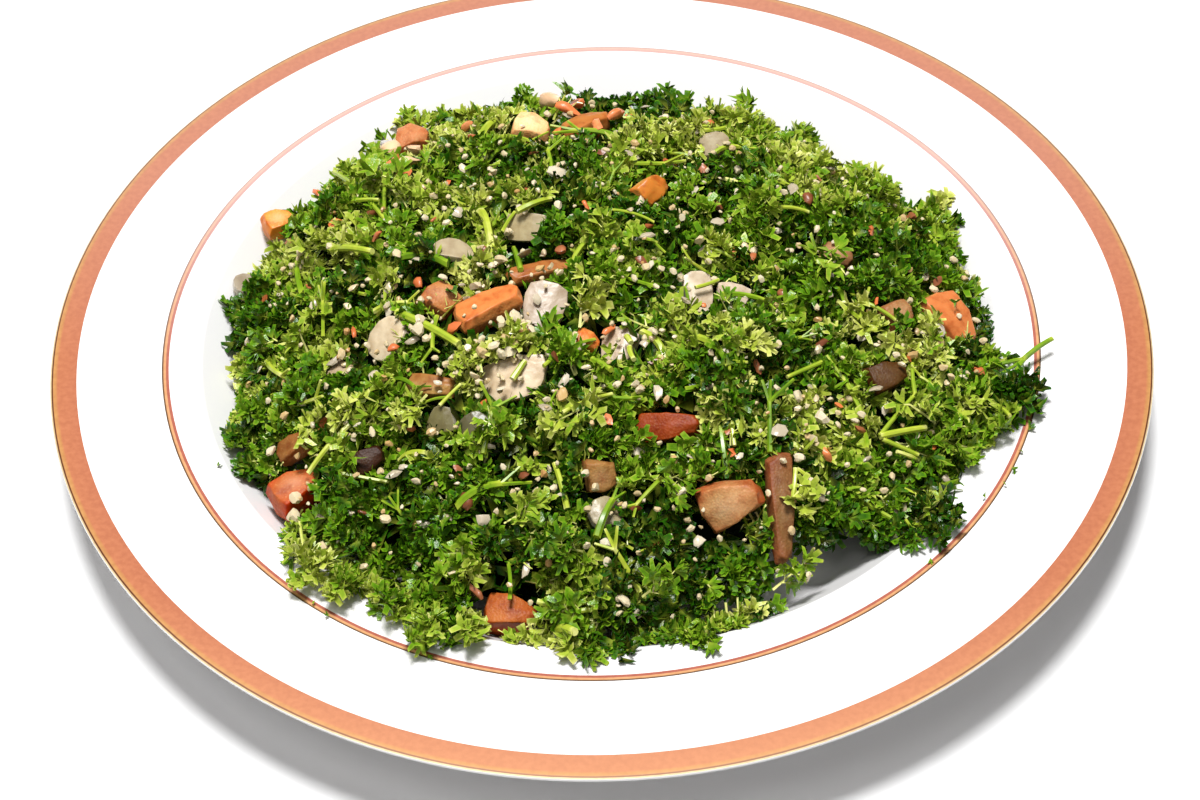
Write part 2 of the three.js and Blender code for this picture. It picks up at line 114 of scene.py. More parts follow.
# How the small things lie on the rest, in millimetres.
PLATE_CLEARANCE = 0.15  # space under a leaf on the plate
PLATE_LIFT = 2.5  # the most that a leaf is lifted to lie on the plate
TOPPING_DIP = 0.25  # a leaf that goes deeper than this into a diced topping is left out
CORE_INSET = 6.5  # the core ends this far inside the leaves, and twice as far on the near side
CORE_DEPTH = 4.2  # the core's top lies this far under the heap's surface
RIM_INSET = 7.5  # a sprig on the rim has its root this far inside its reach

# Edges turned by more than this stay crisp, on leaves, on grains and on pulp.
LEAF_CREASE, GRAIN_CREASE, PULP_CREASE = math.radians(38), math.radians(26), math.radians(50)
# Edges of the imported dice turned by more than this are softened.
DICE_CREASE = math.radians(38)
# Seeds of the random draws of each piece.
UNDER_LEAF_SEED, CURL_SEED, STALK_SEED, BULGUR_SEED, SCRAP_SEED = 11, 12, 13, 5, 6

# The camera: the place that it looks at and its distance in metres, and its angles in degrees.
CAMERA_TARGET = (-0.00062, -0.00968, 0)
CAMERA_DISTANCE = 0.5332
CAMERA_ELEVATION = 47.61
CAMERA_ROLL = -1.96

# Inputs of a Mix node that mixes two colours.
FACTOR, FIRST, SECOND = 0, 6, 7
# What each vertex of a scattered piece carries: how pale it is, and how much rib and edge it is.
VALUES = ("tone", "rib", "edge")

# Side branches of a sprig: place along its midrib, side, and length as a share of the sprig's.
BRANCHES = ((0.3, -1, 0.34), (0.42, 1, 0.34), (0.64, -1, 0.3), (0.74, 1, 0.3), (1.0, 0, 0.2))
# Lobes of a branch: place along it, angle from it in radians, and size as a share of the full size.
LOBES = (
    (0.8, 0.0, 1.0),
    (0.75, 0.62, 0.9),
    (0.75, -0.62, 0.9),
    (0.35, 1.0, 0.8),
    (0.35, -1.0, 0.8),
)
# Half the width of a tooth's blunt end, as a share of half the space between teeth.
BLUNTNESS = 0.45
# How far a sprig's midrib bows, as a share of its length.
BOWS = (0.03, 0.11, 0.19)

# Hollows in the heap of leaves, whose lower sprigs are painted darker as painted shade: place in
# plan, radius and depth, in millimetres.
HOLLOWS = (
    (-42.0, -43.0, 11, 1.6), (-24.0, -44.0, 9, 1.2), (58.0, -40.5, 15, 2.2),
    (10.0, -20.5, 11, 1.6), (22.0, -18.0, 9, 1.4), (-8.0, -48.0, 12, 1.6), (14.0, -79.0, 10, 1.4),
    (-1.0, -64.0, 10, 1.4),
)

# Lighter and darker patches of leaves: place in plan and radius in millimetres, and how much
# lighter.
LIGHTER = (
    (76.0, 43.0, 17, 0.17), (4.6, 22.0, 17, -0.13), (-62.0, 48.0, 14, 0.09),
    (17.0, -60.0, 12, 0.13), (-43.0, -84.0, 14, 0.10), (33.0, -46.0, 13, -0.04),
    (65.0, -40.0, 14, -0.08), (3.0, -20.0, 12, -0.06), (5.5, 52.0, 15, -0.07),
    (-60.0, -53.0, 12, 0.08), (85.0, -14.8, 12, 0.13), (79.0, -53.0, 12, 0.07),
    (-12.0, 23.0, 10, -0.10), (22.0, 51.0, 11, 0.21), (73.0, 29.0, 11, 0.20),
    (-63.0, 4.0, 10, 0.11), (-37.0, -22.0, 12, 0.12), (2.0, -60.0, 13, -0.20),
    (36.0, -26.0, 11, 0.15), (-28.0, -76.0, 10, 0.13), (-52.0, 24.0, 14, 0.10),
    (-80.0, -20.0, 10, 0.12), (15.0, -24.0, 11, -0.09), (28.0, 80.0, 12, 0.10),
)

# The stalk that reaches out over the rim, and a bit on the rim: start, end and width, in
# millimetres.
FORKED_STALK = (
    ((80.0, -21.0, 15.0), (98.6, -19.1, 19.6), 1.2),
    ((98.3, -19.2, 19.5), (105.4, -15.2, 22.0), 1.4),
    ((85.0, -25.5, 15.0), (98.6, -19.3, 19.6), 0.9),
    ((93.5, -25.7, 17.9), (98.7, -19.1, 19.6), 1.1),
    ((73.3, -68.8, 17.6), (75.9, -65.0, 17.6), 0.9),
)

# Cut stalks that show most: both ends in plan and width in millimetres, and how pale they are.
STALKS = (
    (-45.1, -11.5, -30.8, -24.7, 2.5, 0.60), (-19.3, -33.8, -16.7, -29.0, 1.9, 0.65),
    (-12.9, -31.2, -1.7, -20.4, 1.2, 0.50), (-9.7, -46.6, 2.3, -39.6, 1.3, 0.75),
    (-1.5, -29.6, 2.9, -34.3, 1.9, 0.45), (7.1, -22.4, 7.5, -25.8, 1.8, 0.80),
    (6.9, -27.7, 7.2, -32.1, 1.6, 0.75), (48.3, -28.3, 40.5, -34.0, 1.3, 0.55),
    (49.7, -27.8, 54.0, -31.4, 1.4, 0.55), (59.5, -46.9, 71.1, -42.4, 2.0, 0.70),
    (59.5, -46.9, 69.6, -36.0, 1.3, 0.55), (69.6, -36.0, 70.1, -26.7, 1.2, 0.50),
    (69.6, -36.0, 74.6, -35.6, 1.2, 0.50), (60.2, -47.4, 68.7, -49.0, 1.3, 0.60),
    (85.4, -29.8, 84.0, -44.3, 1.5, 0.60), (85.4, -29.8, 92.1, -39.6, 1.3, 0.60),
    (-4.2, -85.9, -7.4, -86.3, 1.6, 0.70), (-7.4, -86.3, -14.8, -84.2, 1.7, 0.75),
    (-7.4, -86.6, -10.7, -89.2, 2.4, 0.75), (-10.7, -89.2, -7.6, -96.2, 2.6, 0.70),
    (-55.6, -39.4, -64.6, -48.6, 1.6, 0.80), (-69.9, -60.5, -66.1, -71.0, 0.9, 0.90),
    (-67.0, 57.4, -49.7, 22.1, 1.5, 0.55), (-52.1, 46.7, -50.3, 23.9, 1.3, 0.50),
    (-62.8, 16.4, -51.8, 8.2, 2.2, 0.65), (25.1, -48.1, 18.7, -53.8, 1.4, 0.40),
    (18.7, -53.8, 16.9, -62.9, 1.4, 0.50), (40.7, -57.1, 39.1, -64.9, 1.3, 0.75),
    (41.0, -57.1, 46.4, -61.3, 1.2, 0.75), (29.0, -45.7, 29.6, -52.8, 1.2, 0.80),
    (25.6, -47.1, 29.0, -45.7, 1.1, 0.80), (24.1, 4.8, 32.1, 1.3, 1.3, 0.60),
    (41.5, 17.4, 49.9, 17.5, 1.3, 0.70), (21.1, -7.6, 28.2, -4.1, 1.2, 0.65),
    (-21.9, 15.9, -18.2, 19.6, 1.2, 0.60), (60.1, -11.4, 66.8, -15.4, 1.2, 0.60),
    (56.1, 18.7, 60.1, 10.7, 1.2, 0.60), (-35.1, -39.5, -31.3, -34.8, 1.1, 0.80),
    (3.3, 15.5, 13.7, 10.3, 1.0, 0.60),
)

# Bright sprigs that show most: root and tip in plan, in millimetres, and how pale they are.
BRIGHT_SPRIGS = (
    (-5.1, -16.9, -4.7, -5.4, 0.95), (-5.1, -16.9, 0.7, -8.4, 0.90),
    (28.6, -52.0, 30.1, -45.3, 0.85), (39.6, -58.1, 41.9, -65.7, 0.85),
    (2.3, -39.2, -9.5, -47.6, 0.85), (85.5, -29.3, 76.3, -34.6, 0.80),
    (-4.2, -86.1, -10.5, -85.7, 0.50), (-52.4, -3.8, -47.6, 2.6, 0.80),
    (-59.2, -39.5, -54.5, -35.8, 0.90), (-68.6, -40.4, -61.5, -37.2, 0.85),
    (-38.6, -35.1, -43.1, -40.6, 0.85), (6.5, -84.0, 8.8, -81.1, 0.50),
    (18.7, -53.6, 24.4, -48.3, 0.45), (-48.1, 32.8, -61.3, 62.3, 0.65),
    (-53.6, 40.6, -53.8, 68.4, 0.60), (37.2, -9.4, 43.4, -18.0, 0.70),
    (76.0, 36.0, 84.5, 30.0, 0.60), (21.3, -45.7, 18.7, -53.0, 0.50),
    (73.4, -40.8, 66.7, -37.8, 0.75), (-22.0, -68.2, -16.4, -64.9, 0.75),
    (-33.2, -82.0, -38.0, -94.3, 0.50), (15.0, -84.8, 16.3, -99.1, 0.35),
    (34.7, -80.1, 39.2, -75.7, 0.60), (52.3, 3.2, 57.8, -11.7, 0.60),
    (-18.0, -70.5, -9.5, -72.0, 0.35), (-5.0, -76.5, -12.5, -75.0, 0.30),
)

# Larger grains of bulgur: place in plan and length, in millimetres.
GRAINS = (
    (-27.3, -6.0, 3.6), (-20.9, -21.9, 3.2), (-22.7, -24.0, 2.8), (-19.6, -25.1, 4.6),
    (-23.4, -26.8, 3.0), (-18.4, -20.4, 3.0), (-40.5, -18.9, 4.6), (-26.7, -26.7, 3.6),
    (-48.6, -1.6, 3.2), (-22.0, 2.1, 3.4), (-24.1, -0.1, 2.6), (11.3, -4.1, 2.5),
    (12.8, -22.7, 2.3), (-10.3, -41.8, 3.6), (4.6, -1.1, 2.4), (3.5, -38.1, 2.2),
    (7.7, -38.3, 2.4), (-34.5, -30.9, 2.4), (-32.0, -32.4, 2.2), (-28.6, -32.8, 2.8),
    (15.9, -5.2, 2.0), (15.1, -64.2, 3.4), (22.6, -61.3, 2.4), (41.3, -55.3, 2.8),
    (41.2, -42.2, 3.2), (45.8, -40.9, 2.6), (47.0, -47.5, 4.2), (44.8, -51.7, 2.4),
    (2.7, -84.6, 3.2), (41.3, -76.8, 2.6), (38.8, -69.5, 2.6), (16.5, -70.6, 2.2),
    (76.2, -27.7, 2.4), (88.1, -40.4, 2.2), (70.4, -58.4, 2.4), (70.4, -24.3, 3.4),
    (76.9, -20.2, 2.4), (-80.8, -32.0, 3.8), (-72.2, -39.7, 2.8), (-69.2, -48.7, 3.4),
    (-75.0, -44.3, 3.0), (-67.6, -55.9, 4.6), (-66.5, -52.3, 3.6), (-59.8, -64.8, 3.2),
    (-51.2, -41.8, 2.8), (-46.4, -64.1, 3.0), (-39.9, -16.8, 3.0), (-13.6, -2.0, 2.6),
    (21.7, 4.8, 2.8), (1.4, 37.0, 3.2), (11.4, 44.5, 2.8), (34.4, 34.7, 2.6), (-31.0, 42.7, 3.0),
    (-23.3, 36.8, 2.6), (-55.9, -1.2, 3.0), (-59.1, -17.5, 2.6), (-46.5, 6.1, 3.0),
    (-69.8, 18.9, 3.0), (-36.2, -45.2, 2.6), (-23.6, -21.4, 4.4), (-21.4, -18.9, 3.8),
    (-18.6, -23.2, 3.6), (-24.8, -25.4, 3.4), (-16.2, -22.6, 3.2), (-21.6, -26.6, 3.6),
    (-13.1, -58.6, 2.4), (-4.4, -59.6, 2.4),
)

# Crumbs of leaf on the plate's rim: place in plan and length, in millimetres.
CRUMBS = (
    (96.4, -39.7, 2.2), (94.1, -45.7, 1.4), (91.1, -50.9, 1.6), (89.0, -55.5, 1.2),
    (-38.6, -96.4, 1.6), (-35.2, -95.3, 1.2), (-59.8, -85.6, 1.4), (-63.9, -81.7, 1.2),
    (-88.1, -41.5, 1.6), (83.9, -59.1, 1.4), (69.6, -75.4, 1.5),
)

# Sprigs out over the plate's rim: angle around the heap in degrees, reach past its edge and
# height of the pile, in millimetres.
RIM_SPRIGS = (
    (-176, 7, 1), (-171, 8, 1), (-167, 9, 1), (-161, 9.5, 1), (-156, 2, 1), (-150, 5, 1),
    (-143, 9, 1), (-138, 12, 1), (-135, 14, 1), (-132, 13.5, 1), (-127, 12, 1), (-122, 9, 1),
    (-118, 6, 1), (-115, 14.5, 1), (-111, 12, 1), (-104, 7, 1), (-96, 9, 1), (-90, 8.5, 1),
    (-84, 9.5, 1), (-80, 10, 1), (-76, 9, 1), (-71, 9, 1), (-66, -8, 1), (-60, -7, 1),
    (-54, -6, 1), (-48, 3, 1), (-42, 11, 1), (-38, 10.5, 1), (-33, -5, 1), (-26, 4, 1),
    (-22, 9, 1), (-18, 12, 1), (-15, 11, 1), (-11, 3, 1), (-5, -3, 1), (20, 3, 2), (24, 11, 2),
    (27, 7, 2), (54, 5, 2), (80, 5, 2), (86, 6, 4), (92, 5, 1), (100, 8, 3), (106, 9, 4),
    (112, 8, 3), (117, 10, 3), (122, 12.5, 3), (125, 14, 3), (128, 13, 2), (132, 12, 3),
    (136, 11, 2), (140, 9.5, 2), (146, 9, 1), (151, 10, 1), (156, 7, 1), (161, 6, 1), (171, 5, 1),
)

# Scraps of tomato: place in plan, height off the heap and size in millimetres, and how pale they
# are.
SCRAPS = (
    (85.6, -22.1, 2.6, 4.5, 0.5), (55.6, -46.7, 2.6, 4.5, 0.35), (27.4, -54.2, 2.4, 5.0, 0.6),
    (21.0, -51.6, 2.4, 4.0, 0.3), (-1.3, -62.2, 2.6, 4.5, 0.3), (8.1, -43.3, 2.6, 4.0, 0.35),
    (-42.1, -31.8, 2.8, 5.0, 0.55), (-79.8, 10.5, 2.6, 4.5, 0.5), (-62.9, 28.1, 2.6, 5.0, 0.6),
    (-71.2, 51.2, 2.2, 5.0, 0.65), (17.4, 39.8, 3.0, 5.0, 0.5), (35.7, 2.9, 2.8, 4.0, 0.4),
    (-32.1, 70.5, 3.0, 5.0, 0.8), (-68.4, -48.6, 2.6, 4.5, 0.45), (-31.8, -54.9, 2.6, 4.0, 0.3),
    (-49.0, 50.1, 4.5, 8.5, 0.74), (-49.4, 56.4, 6.6, 7.5, 0.95), (-45.2, 49.9, 4.0, 7.5, 0.93),
    (-46.7, 45.1, 3.6, 7.5, 0.72), (-44.1, 55.0, 4.8, 6.5, 0.98), (-11.4, 68.6, 5.2, 8.5, 0.92),
    (-7.1, 63.5, 5.0, 9.0, 0.7), (-4.2, 66.7, 5.6, 6.5, 0.72), (1.8, 58.9, 4.6, 7.5, 0.68),
    (4.9, 61.0, 5.0, 6.5, 0.72), (0.9, 55.8, 4.4, 6.5, 0.78), (-78.0, 40.0, 2.6, 6.0, 0.75),
)

# Small slices of onion: place in plan and length, in millimetres.
SMALL_ONIONS = (
    (-8.6, 29.8, 6.5), (-54.6, 54.0, 6.5), (-52.8, 50.4, 6.0), (56.6, 38.6, 6.0),
    (-46.0, -53.6, 5.5), (-9.4, -35.5, 5.0), (-17.3, 6.1, 6.0), (-42.1, -20.1, 5.0),
    (24.5, 26.0, 5.0), (62.0, -40.0, 4.0),
)

# Diced tomato: colour of its flesh, colour of its skin, and where the skin faces. The pieces that
# lie in shade, tomato_05, tomato_15 to tomato_17, tomato_19, tomato_21 and tomato_22, have darker,
# browner colours as painted shade.
TOMATO_COLOURS_AND_SHADE = {
    "tomato_01": ("#B86632", "#BA380C", (0.3, -0.9, -0.1)),
    "tomato_02": ("#C4742F", "#A04A16", (-0.6, -0.8, 0.0)),
    "tomato_03": ("#B04E12", "#8A3608", (1.0, -0.2, 0.2)),
    "tomato_04": ("#C09460", "#AE5A2C", (1.0, 0.1, 0.0)),
    "tomato_05": ("#7C5A30", "#8C5030", (0.0, 1.0, 0.2)),
    "tomato_06": ("#E09854", "#D88244", (0.0, -0.2, 1.0)),
    "tomato_07": ("#B97C44", "#A86338", (-1.0, 0.0, 0.3)),
    "tomato_08": ("#B68248", "#A86A36", (-0.7, 0.0, 0.7)),
    "tomato_09": ("#D8A456", "#CE7E30", (0.4, -0.6, 0.6)),
    "tomato_10": ("#DC9A5C", "#D27E46", (0.0, -0.5, 0.8)),
    "tomato_11": ("#D8A67A", "#C27240", (0.2, -1.0, -0.1)),
    "tomato_12": ("#EAA44E", "#E3852E", (-0.3, -0.8, 0.3)),
    "tomato_13": ("#F3CD94", "#F3A767", (0.0, 0.0, -1.0)),
    "tomato_14": ("#BB884D", "#B87438", (0.2, -0.5, 0.8)),
    "tomato_15": ("#B59251", "#A1713B", (0.0, 0.5, 0.8)),
    "tomato_16": ("#A4763C", "#8A5628", (0.0, 0.6, 0.6)),
    "tomato_17": ("#3A1E0A", "#301404", (0.0, 0.0, -1.0)),
    "tomato_18": ("#9E744C", "#7E5030", (0.0, 0.0, -1.0)),
    "tomato_19": ("#AC7F50", "#9A6238", (0.0, 0.0, -1.0)),
    "tomato_20": ("#E89A50", "#DE7A30", (-0.6, -0.6, 0.4)),
    "tomato_21": ("#A87E46", "#8E6032", (0.0, 0.0, -1.0)),
    "tomato_22": ("#523410", "#442608", (0.0, 0.0, -1.0)),
}

# Diced onion: colour of each slice, painted greener and darker where it lies deep between the
# leaves, as painted shade.
ONION_COLOURS_AND_SHADE = {
    "onion_01": "#B8A58E", "onion_02": "#DBC6A6", "onion_03": "#DBCBB2", "onion_04": "#CEBCA4",
    "onion_05": "#BEA98E", "onion_06": "#DAC8A8", "onion_07": "#B29D80", "onion_08": "#7C754E",
    "onion_09": "#625E40", "onion_10": "#A89C78", "onion_11": "#5C563C", "onion_12": "#B4A484",
    "onion_13": "#B3A47D", "onion_14": "#A89A7C", "onion_15": "#D0BDA0", "onion_16": "#A49782",
}

# Toppings that the leaves may cover.
COVERED = ("tomato_16", "tomato_17", "tomato_19", "tomato_22", "onion_08", "onion_09", "onion_11")
# How much wider, in millimetres, the leaves leave a topping bare: less than 0 where it nests in
# them.
EXTRA_MARGIN = {
    "onion_01": -1.5, "onion_02": -0.8, "onion_03": 1.1, "onion_04": 3.2, "onion_05": 2.8,
    "onion_06": -0.4, "onion_12": -0.8, "onion_15": 1.1, "tomato_01": 2.0, "tomato_02": 2.4,
    "tomato_04": 1.1, "tomato_05": -0.8, "tomato_06": 2.2, "tomato_07": 1.1, "tomato_11": 2.2,
    "tomato_12": 1.1, "tomato_13": 3.0, "tomato_14": 1.4, "tomato_18": 1.6, "tomato_20": 1.6,
}


# Colour, nodes and objects


def linear(code):
    """The linear RGBA of an sRGB hex code such as #C0FFEE."""
    shares = [int(code[i : i + 2], 16) / 255 for i in (1, 3, 5)]
    colour = (c / 12.92 if c <= 0.04045 else ((c + 0.055) / 1.055) ** 2.4 for c in shares)
    return (*colour, 1.0)


def add_node(tree, kind, inputs=None, stops=None, **settings):
    """Adds a shader node with its settings, its colour stops, and its inputs as values or links.

    A node among the inputs stands for its first output that is in use."""
    made = tree.nodes.new("ShaderNode" + kind)
    for name, value in settings.items():
        setattr(made, name, value)
    if stops:
        ramp = made.color_ramp
        while len(ramp.elements) < len(stops):
            ramp.elements.new(0.5)
        for element, (place, code) in zip(ramp.elements, stops):
            element.position = place
            element.color = linear(code)
    for name, value in (inputs or {}).items():
        if isinstance(value, bpy.types.Node):
            value = next(output for output in value.outputs if output.enabled)
        if isinstance(value, bpy.types.NodeSocket):
            tree.links.new(value, made.inputs[name])
        else:
            made.inputs[name].default_value = value
    return made


def new_material(name):
    """An empty node material and its node tree."""
    material = bpy.data.materials.new(name)
    material.use_nodes = True
    material.node_tree.nodes.clear()
    return material, material.node_tree


def add_piece(name, mesh, slot, *replaced):
    """Puts a finished mesh in the scene as a piece of the salad."""
    piece = bpy.data.objects.new(name, mesh)
    bpy.context.collection.objects.link(piece)
    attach(piece, BODY)
    if replaced:
        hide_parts(*replaced)


def mesh_from_bmesh(name, bm, *materials):
    """A mesh with these materials from a bmesh, which is then freed."""
    mesh = bpy.data.meshes.new(name)
    bm.to_mesh(mesh)
    bm.free()
    for material in materials:
        mesh.materials.append(material)
    return mesh


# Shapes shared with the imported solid


def rounded(corners, steps):
    """A polyline through the corners, with a curve in place of each corner that has a fillet."""
    points = []
    for i, (r, z, fillet) in enumerate(corners):
        corner = Vector((r, z))
        if not fillet or i in (0, len(corners) - 1):
            points.append(corner)
            continue
        back = (Vector(corners[i - 1][:2]) - corner).normalized()
        ahead = (Vector(corners[i + 1][:2]) - corner).normalized()
        half = back.angle(ahead) / 2
        reach = fillet / math.tan(half)
        start, end = corner + back * reach, corner + ahead * reach
        for k in range(steps):
            t = k / (steps - 1)
            points.append(start * (1 - t) ** 2 + corner * (2 * t * (1 - t)) + end * t**2)
    return points


UPPER_POINTS = np.array([tuple(p) for p in rounded(PLATE_UPPER, 8)])


def plate_height(radius):
    """The height of the plate's upper face at a radius, in millimetres."""
    return np.interp(radius, UPPER_POINTS[:, 0], UPPER_POINTS[:, 1])


def outline_radius(angle):
    """The heap's radius at an angle around it, in millimetres."""
    return HEAP_RADIUS * (1 + sum(a * np.cos(h * angle - p) for h, a, p in OUTLINE_LOBES))


def near_side(angle):
    """How much an angle around the heap faces the diner, from 0 to 1."""
    return np.maximum(0.0, -np.sin(angle)) ** 2


def back_right(angle):
    """How much an angle around the heap faces its flatter far right side, from 0 to 1."""
    return np.maximum(0.0, np.cos(angle - 1.1)) ** 6


def leafy_share(angle):
    """How far out the leaves go, as a share of the heap's radius.

    It is less where the plate's wall shows."""
    near_right = np.maximum(0.0, np.cos(angle + 1.03)) ** 24
    return 1 - 0.11 * back_right(angle) - 0.1 * near_right


def heap_share(x, y):
    """How far out a place is: 0 at the heap's middle and 1 at its edge."""
    dx, dy = x - HEAP_CENTRE[0], y - HEAP_CENTRE[1]
    return np.hypot(dx, dy) / outline_radius(np.arctan2(dy, dx))


def heap_height(x, y):
    """The height of the bare heap's surface, in millimetres."""
    share = np.minimum(1, heap_share(x, y))
    dome = (1 - share**2.8) ** 0.75
    swell = sum(
        height * np.sin(2 * np.pi * (x * np.cos(heading) + y * np.sin(heading)) / length + phase)
        for length, height, heading, phase in SWELLS
    )
    top = HEAP_EDGE_Z + (HEAP_PEAK_Z - HEAP_EDGE_Z) * dome + swell * (1 - share**6)
    return np.maximum(top, plate_height(np.hypot(x, y)) + 2.5)


def heap_normal(x, y):
    """Unit normals of the heap's surface, one row for each place."""
    step = 2.0
    slope_x = (heap_height(x + step, y) - heap_height(x - step, y)) / (2 * step)
    slope_y = (heap_height(x, y + step) - heap_height(x, y - step)) / (2 * step)
    normal = np.stack([-slope_x, -slope_y, np.ones_like(slope_x)], axis=-1)
    return normal / np.linalg.norm(normal, axis=-1, keepdims=True)


# Small shapes that are repeated


def arrays_of(bm):
    """The vertices and triangles of a bmesh, which is then freed."""
    bmesh.ops.triangulate(bm, faces=bm.faces[:])
    bm.verts.index_update()
    vertices = np.array([tuple(v.co) for v in bm.verts])
    triangles = np.array([[v.index for v in f.verts] for f in bm.faces])
    bm.free()
    return vertices, triangles


def lobe(rng, teeth, spread, notch, ruffle, cup, curl):
    """A thin closed leaf lobe of length 1 along +X: a wedge with a ruffled end of blunt teeth."""
    rim = [(0.0, 0.0, 0.0)]
    gap = spread / (teeth - 1)
    for k in range(3 * teeth - 1):
        tooth, corner = divmod(k, 3)
        middle = spread * (1 - 2 * tooth / (teeth - 1))
        aside = (BLUNTNESS, -BLUNTNESS, -1)[corner]
        angle = middle + gap * aside + rng.normal(0, 0.03)
        reach = (0.55 + 0.45 * math.cos(1.6 * middle)) * (1 + rng.normal(0, 0.05))
        if corner == 2:
            reach = (0.55 + 0.45 * math.cos(1.6 * angle)) * notch
        rise = (0 if corner == 2 else ruffle * (-1) ** tooth) + rng.normal(0, 0.04)
        rim.append((reach * math.cos(angle), reach * math.sin(angle), rise))
    bm = bmesh.new()
    bmesh.ops.create_uvsphere(bm, u_segments=len(rim), v_segments=2, radius=1)
    ring = [v for v in bm.verts if abs(v.co.z) < 0.5]
    ring.sort(key=lambda v: -math.atan2(v.co.y, v.co.x))
    for vertex, place in zip(ring, rim):
        vertex.co = place
    middle = [v for v in bm.verts if v not in ring]
    for vertex in middle:
        vertex.co = (0.45, 0, math.copysign(0.03, vertex.co.z))
    # Edge marks the teeth at the lobe's end, which the leaf material paints lighter as a painted
    # highlight.
    edge = [float(v not in middle and v.co.x > 0.2) for v in bm.verts]
    rib = [max(0.0, 1 - 1.8 * v.co.length) for v in bm.verts]
    for vertex in bm.verts:
        x, y, z = vertex.co
        turn = curl * x
        vertex.co = (math.sin(turn) / curl, y, z + (1 - math.cos(turn)) / curl + cup * y * y)
    bmesh.ops.recalc_face_normals(bm, faces=bm.faces[:])
    vertices, triangles = arrays_of(bm)
    return vertices, triangles, np.array(rib), np.array(edge)


def lobe_shapes(rng, teeth):
    """Lobes that differ in spread, cup and curl."""
    bends = ((1.2, 0.9), (-0.8, 1.3), (0.9, -1.0), (1.6, 1.8), (-1.2, -0.6), (0.6, 0.5))
    return [
        lobe(rng, teeth, spread, notch, ruffle, cup, curl)
        for spread, notch, ruffle in ((0.66, 0.62, 0.16), (0.52, 0.58, 0.12))
        for cup, curl in bends
    ]


def rod(sides, cuts, bow, taper, width=1.0):
    """A closed rod of length 1 along +X, bowed upwards and thinner at its far end."""
    bm = bmesh.new()
    bmesh.ops.create_cone(
        bm, cap_ends=True, segments=sides, radius1=width / 2, radius2=width * taper / 2, depth=1
    )
    if cuts:
        long_edges = [e for e in bm.edges if abs(e.verts[0].co.z - e.verts[1].co.z) > 0.5]
        bmesh.ops.subdivide_edges(bm, edges=long_edges, cuts=cuts)
    bmesh.ops.rotate(bm, verts=bm.verts[:], matrix=Matrix.Rotation(math.pi / 2, 3, "Y"))
    bmesh.ops.translate(bm, verts=bm.verts[:], vec=(0.5, 0, 0))
    vertices, triangles = arrays_of(bm)
    around = np.round(np.arctan2(vertices[:, 1], vertices[:, 2]) / (2 * math.pi) * sides)
    ridges = around % 2
    vertices[:, 2] += bow * 4 * vertices[:, 0] * (1 - vertices[:, 0])
    ends = np.where(np.minimum(vertices[:, 0], 1 - vertices[:, 0]) < 0.01, 1.0, 0.0)
    return vertices, triangles, ridges, ends


def grain(rng, breaks):
    """A cracked grain of length 1: a rounded lump with a few flat breaks."""
    bm = bmesh.new()
    bmesh.ops.create_uvsphere(bm, u_segments=7, v_segments=5, radius=0.5)
    vertices, triangles = arrays_of(bm)
    for _ in range(breaks):
        direction = rng.normal(size=3)
        direction /= np.linalg.norm(direction)
        beyond = np.maximum(0, vertices @ direction - rng.uniform(0.18, 0.36))
        vertices -= beyond[:, None] * direction
    vertices *= (1.0, rng.uniform(0.6, 0.85), rng.uniform(0.5, 0.75))
    return vertices, triangles, np.zeros(len(vertices)), np.zeros(len(vertices))


def topping_planes():
    """Centre, reach, and the planes around it, of each diced topping, in millimetres."""
    rows = []
    for name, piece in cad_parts.items():
        if name.startswith(("tomato", "onion")):
            vertices = np.array([tuple(v.co) for v in piece.data.vertices]) / MM
            normals = np.array([tuple(p.normal) for p in piece.data.polygons])
            normals = np.unique(np.round(normals, 2), axis=0)
            centre = vertices.mean(axis=0)
            reach = np.linalg.norm(vertices - centre, axis=1).max()
            rows.append((centre, reach, normals, (vertices @ normals.T).max(axis=0)))
    return rows


def inside_toppings(placed):
    """True for each copy that has a vertex too deep inside a topping."""
    hit = np.zeros(len(placed), dtype=bool)
    middles = placed.mean(axis=1)
    for centre, reach, normals, limits in TOPPING_PLANES:
        close = np.nonzero(np.linalg.norm(middles - centre, axis=1) < reach + 4.0)[0]
        if len(close):
            within = (placed[close] @ normals.T < limits - TOPPING_DIP).all(axis=2).any(axis=1)
            hit[close] |= within
    return hit


TOPPING_PLANES = topping_planes()


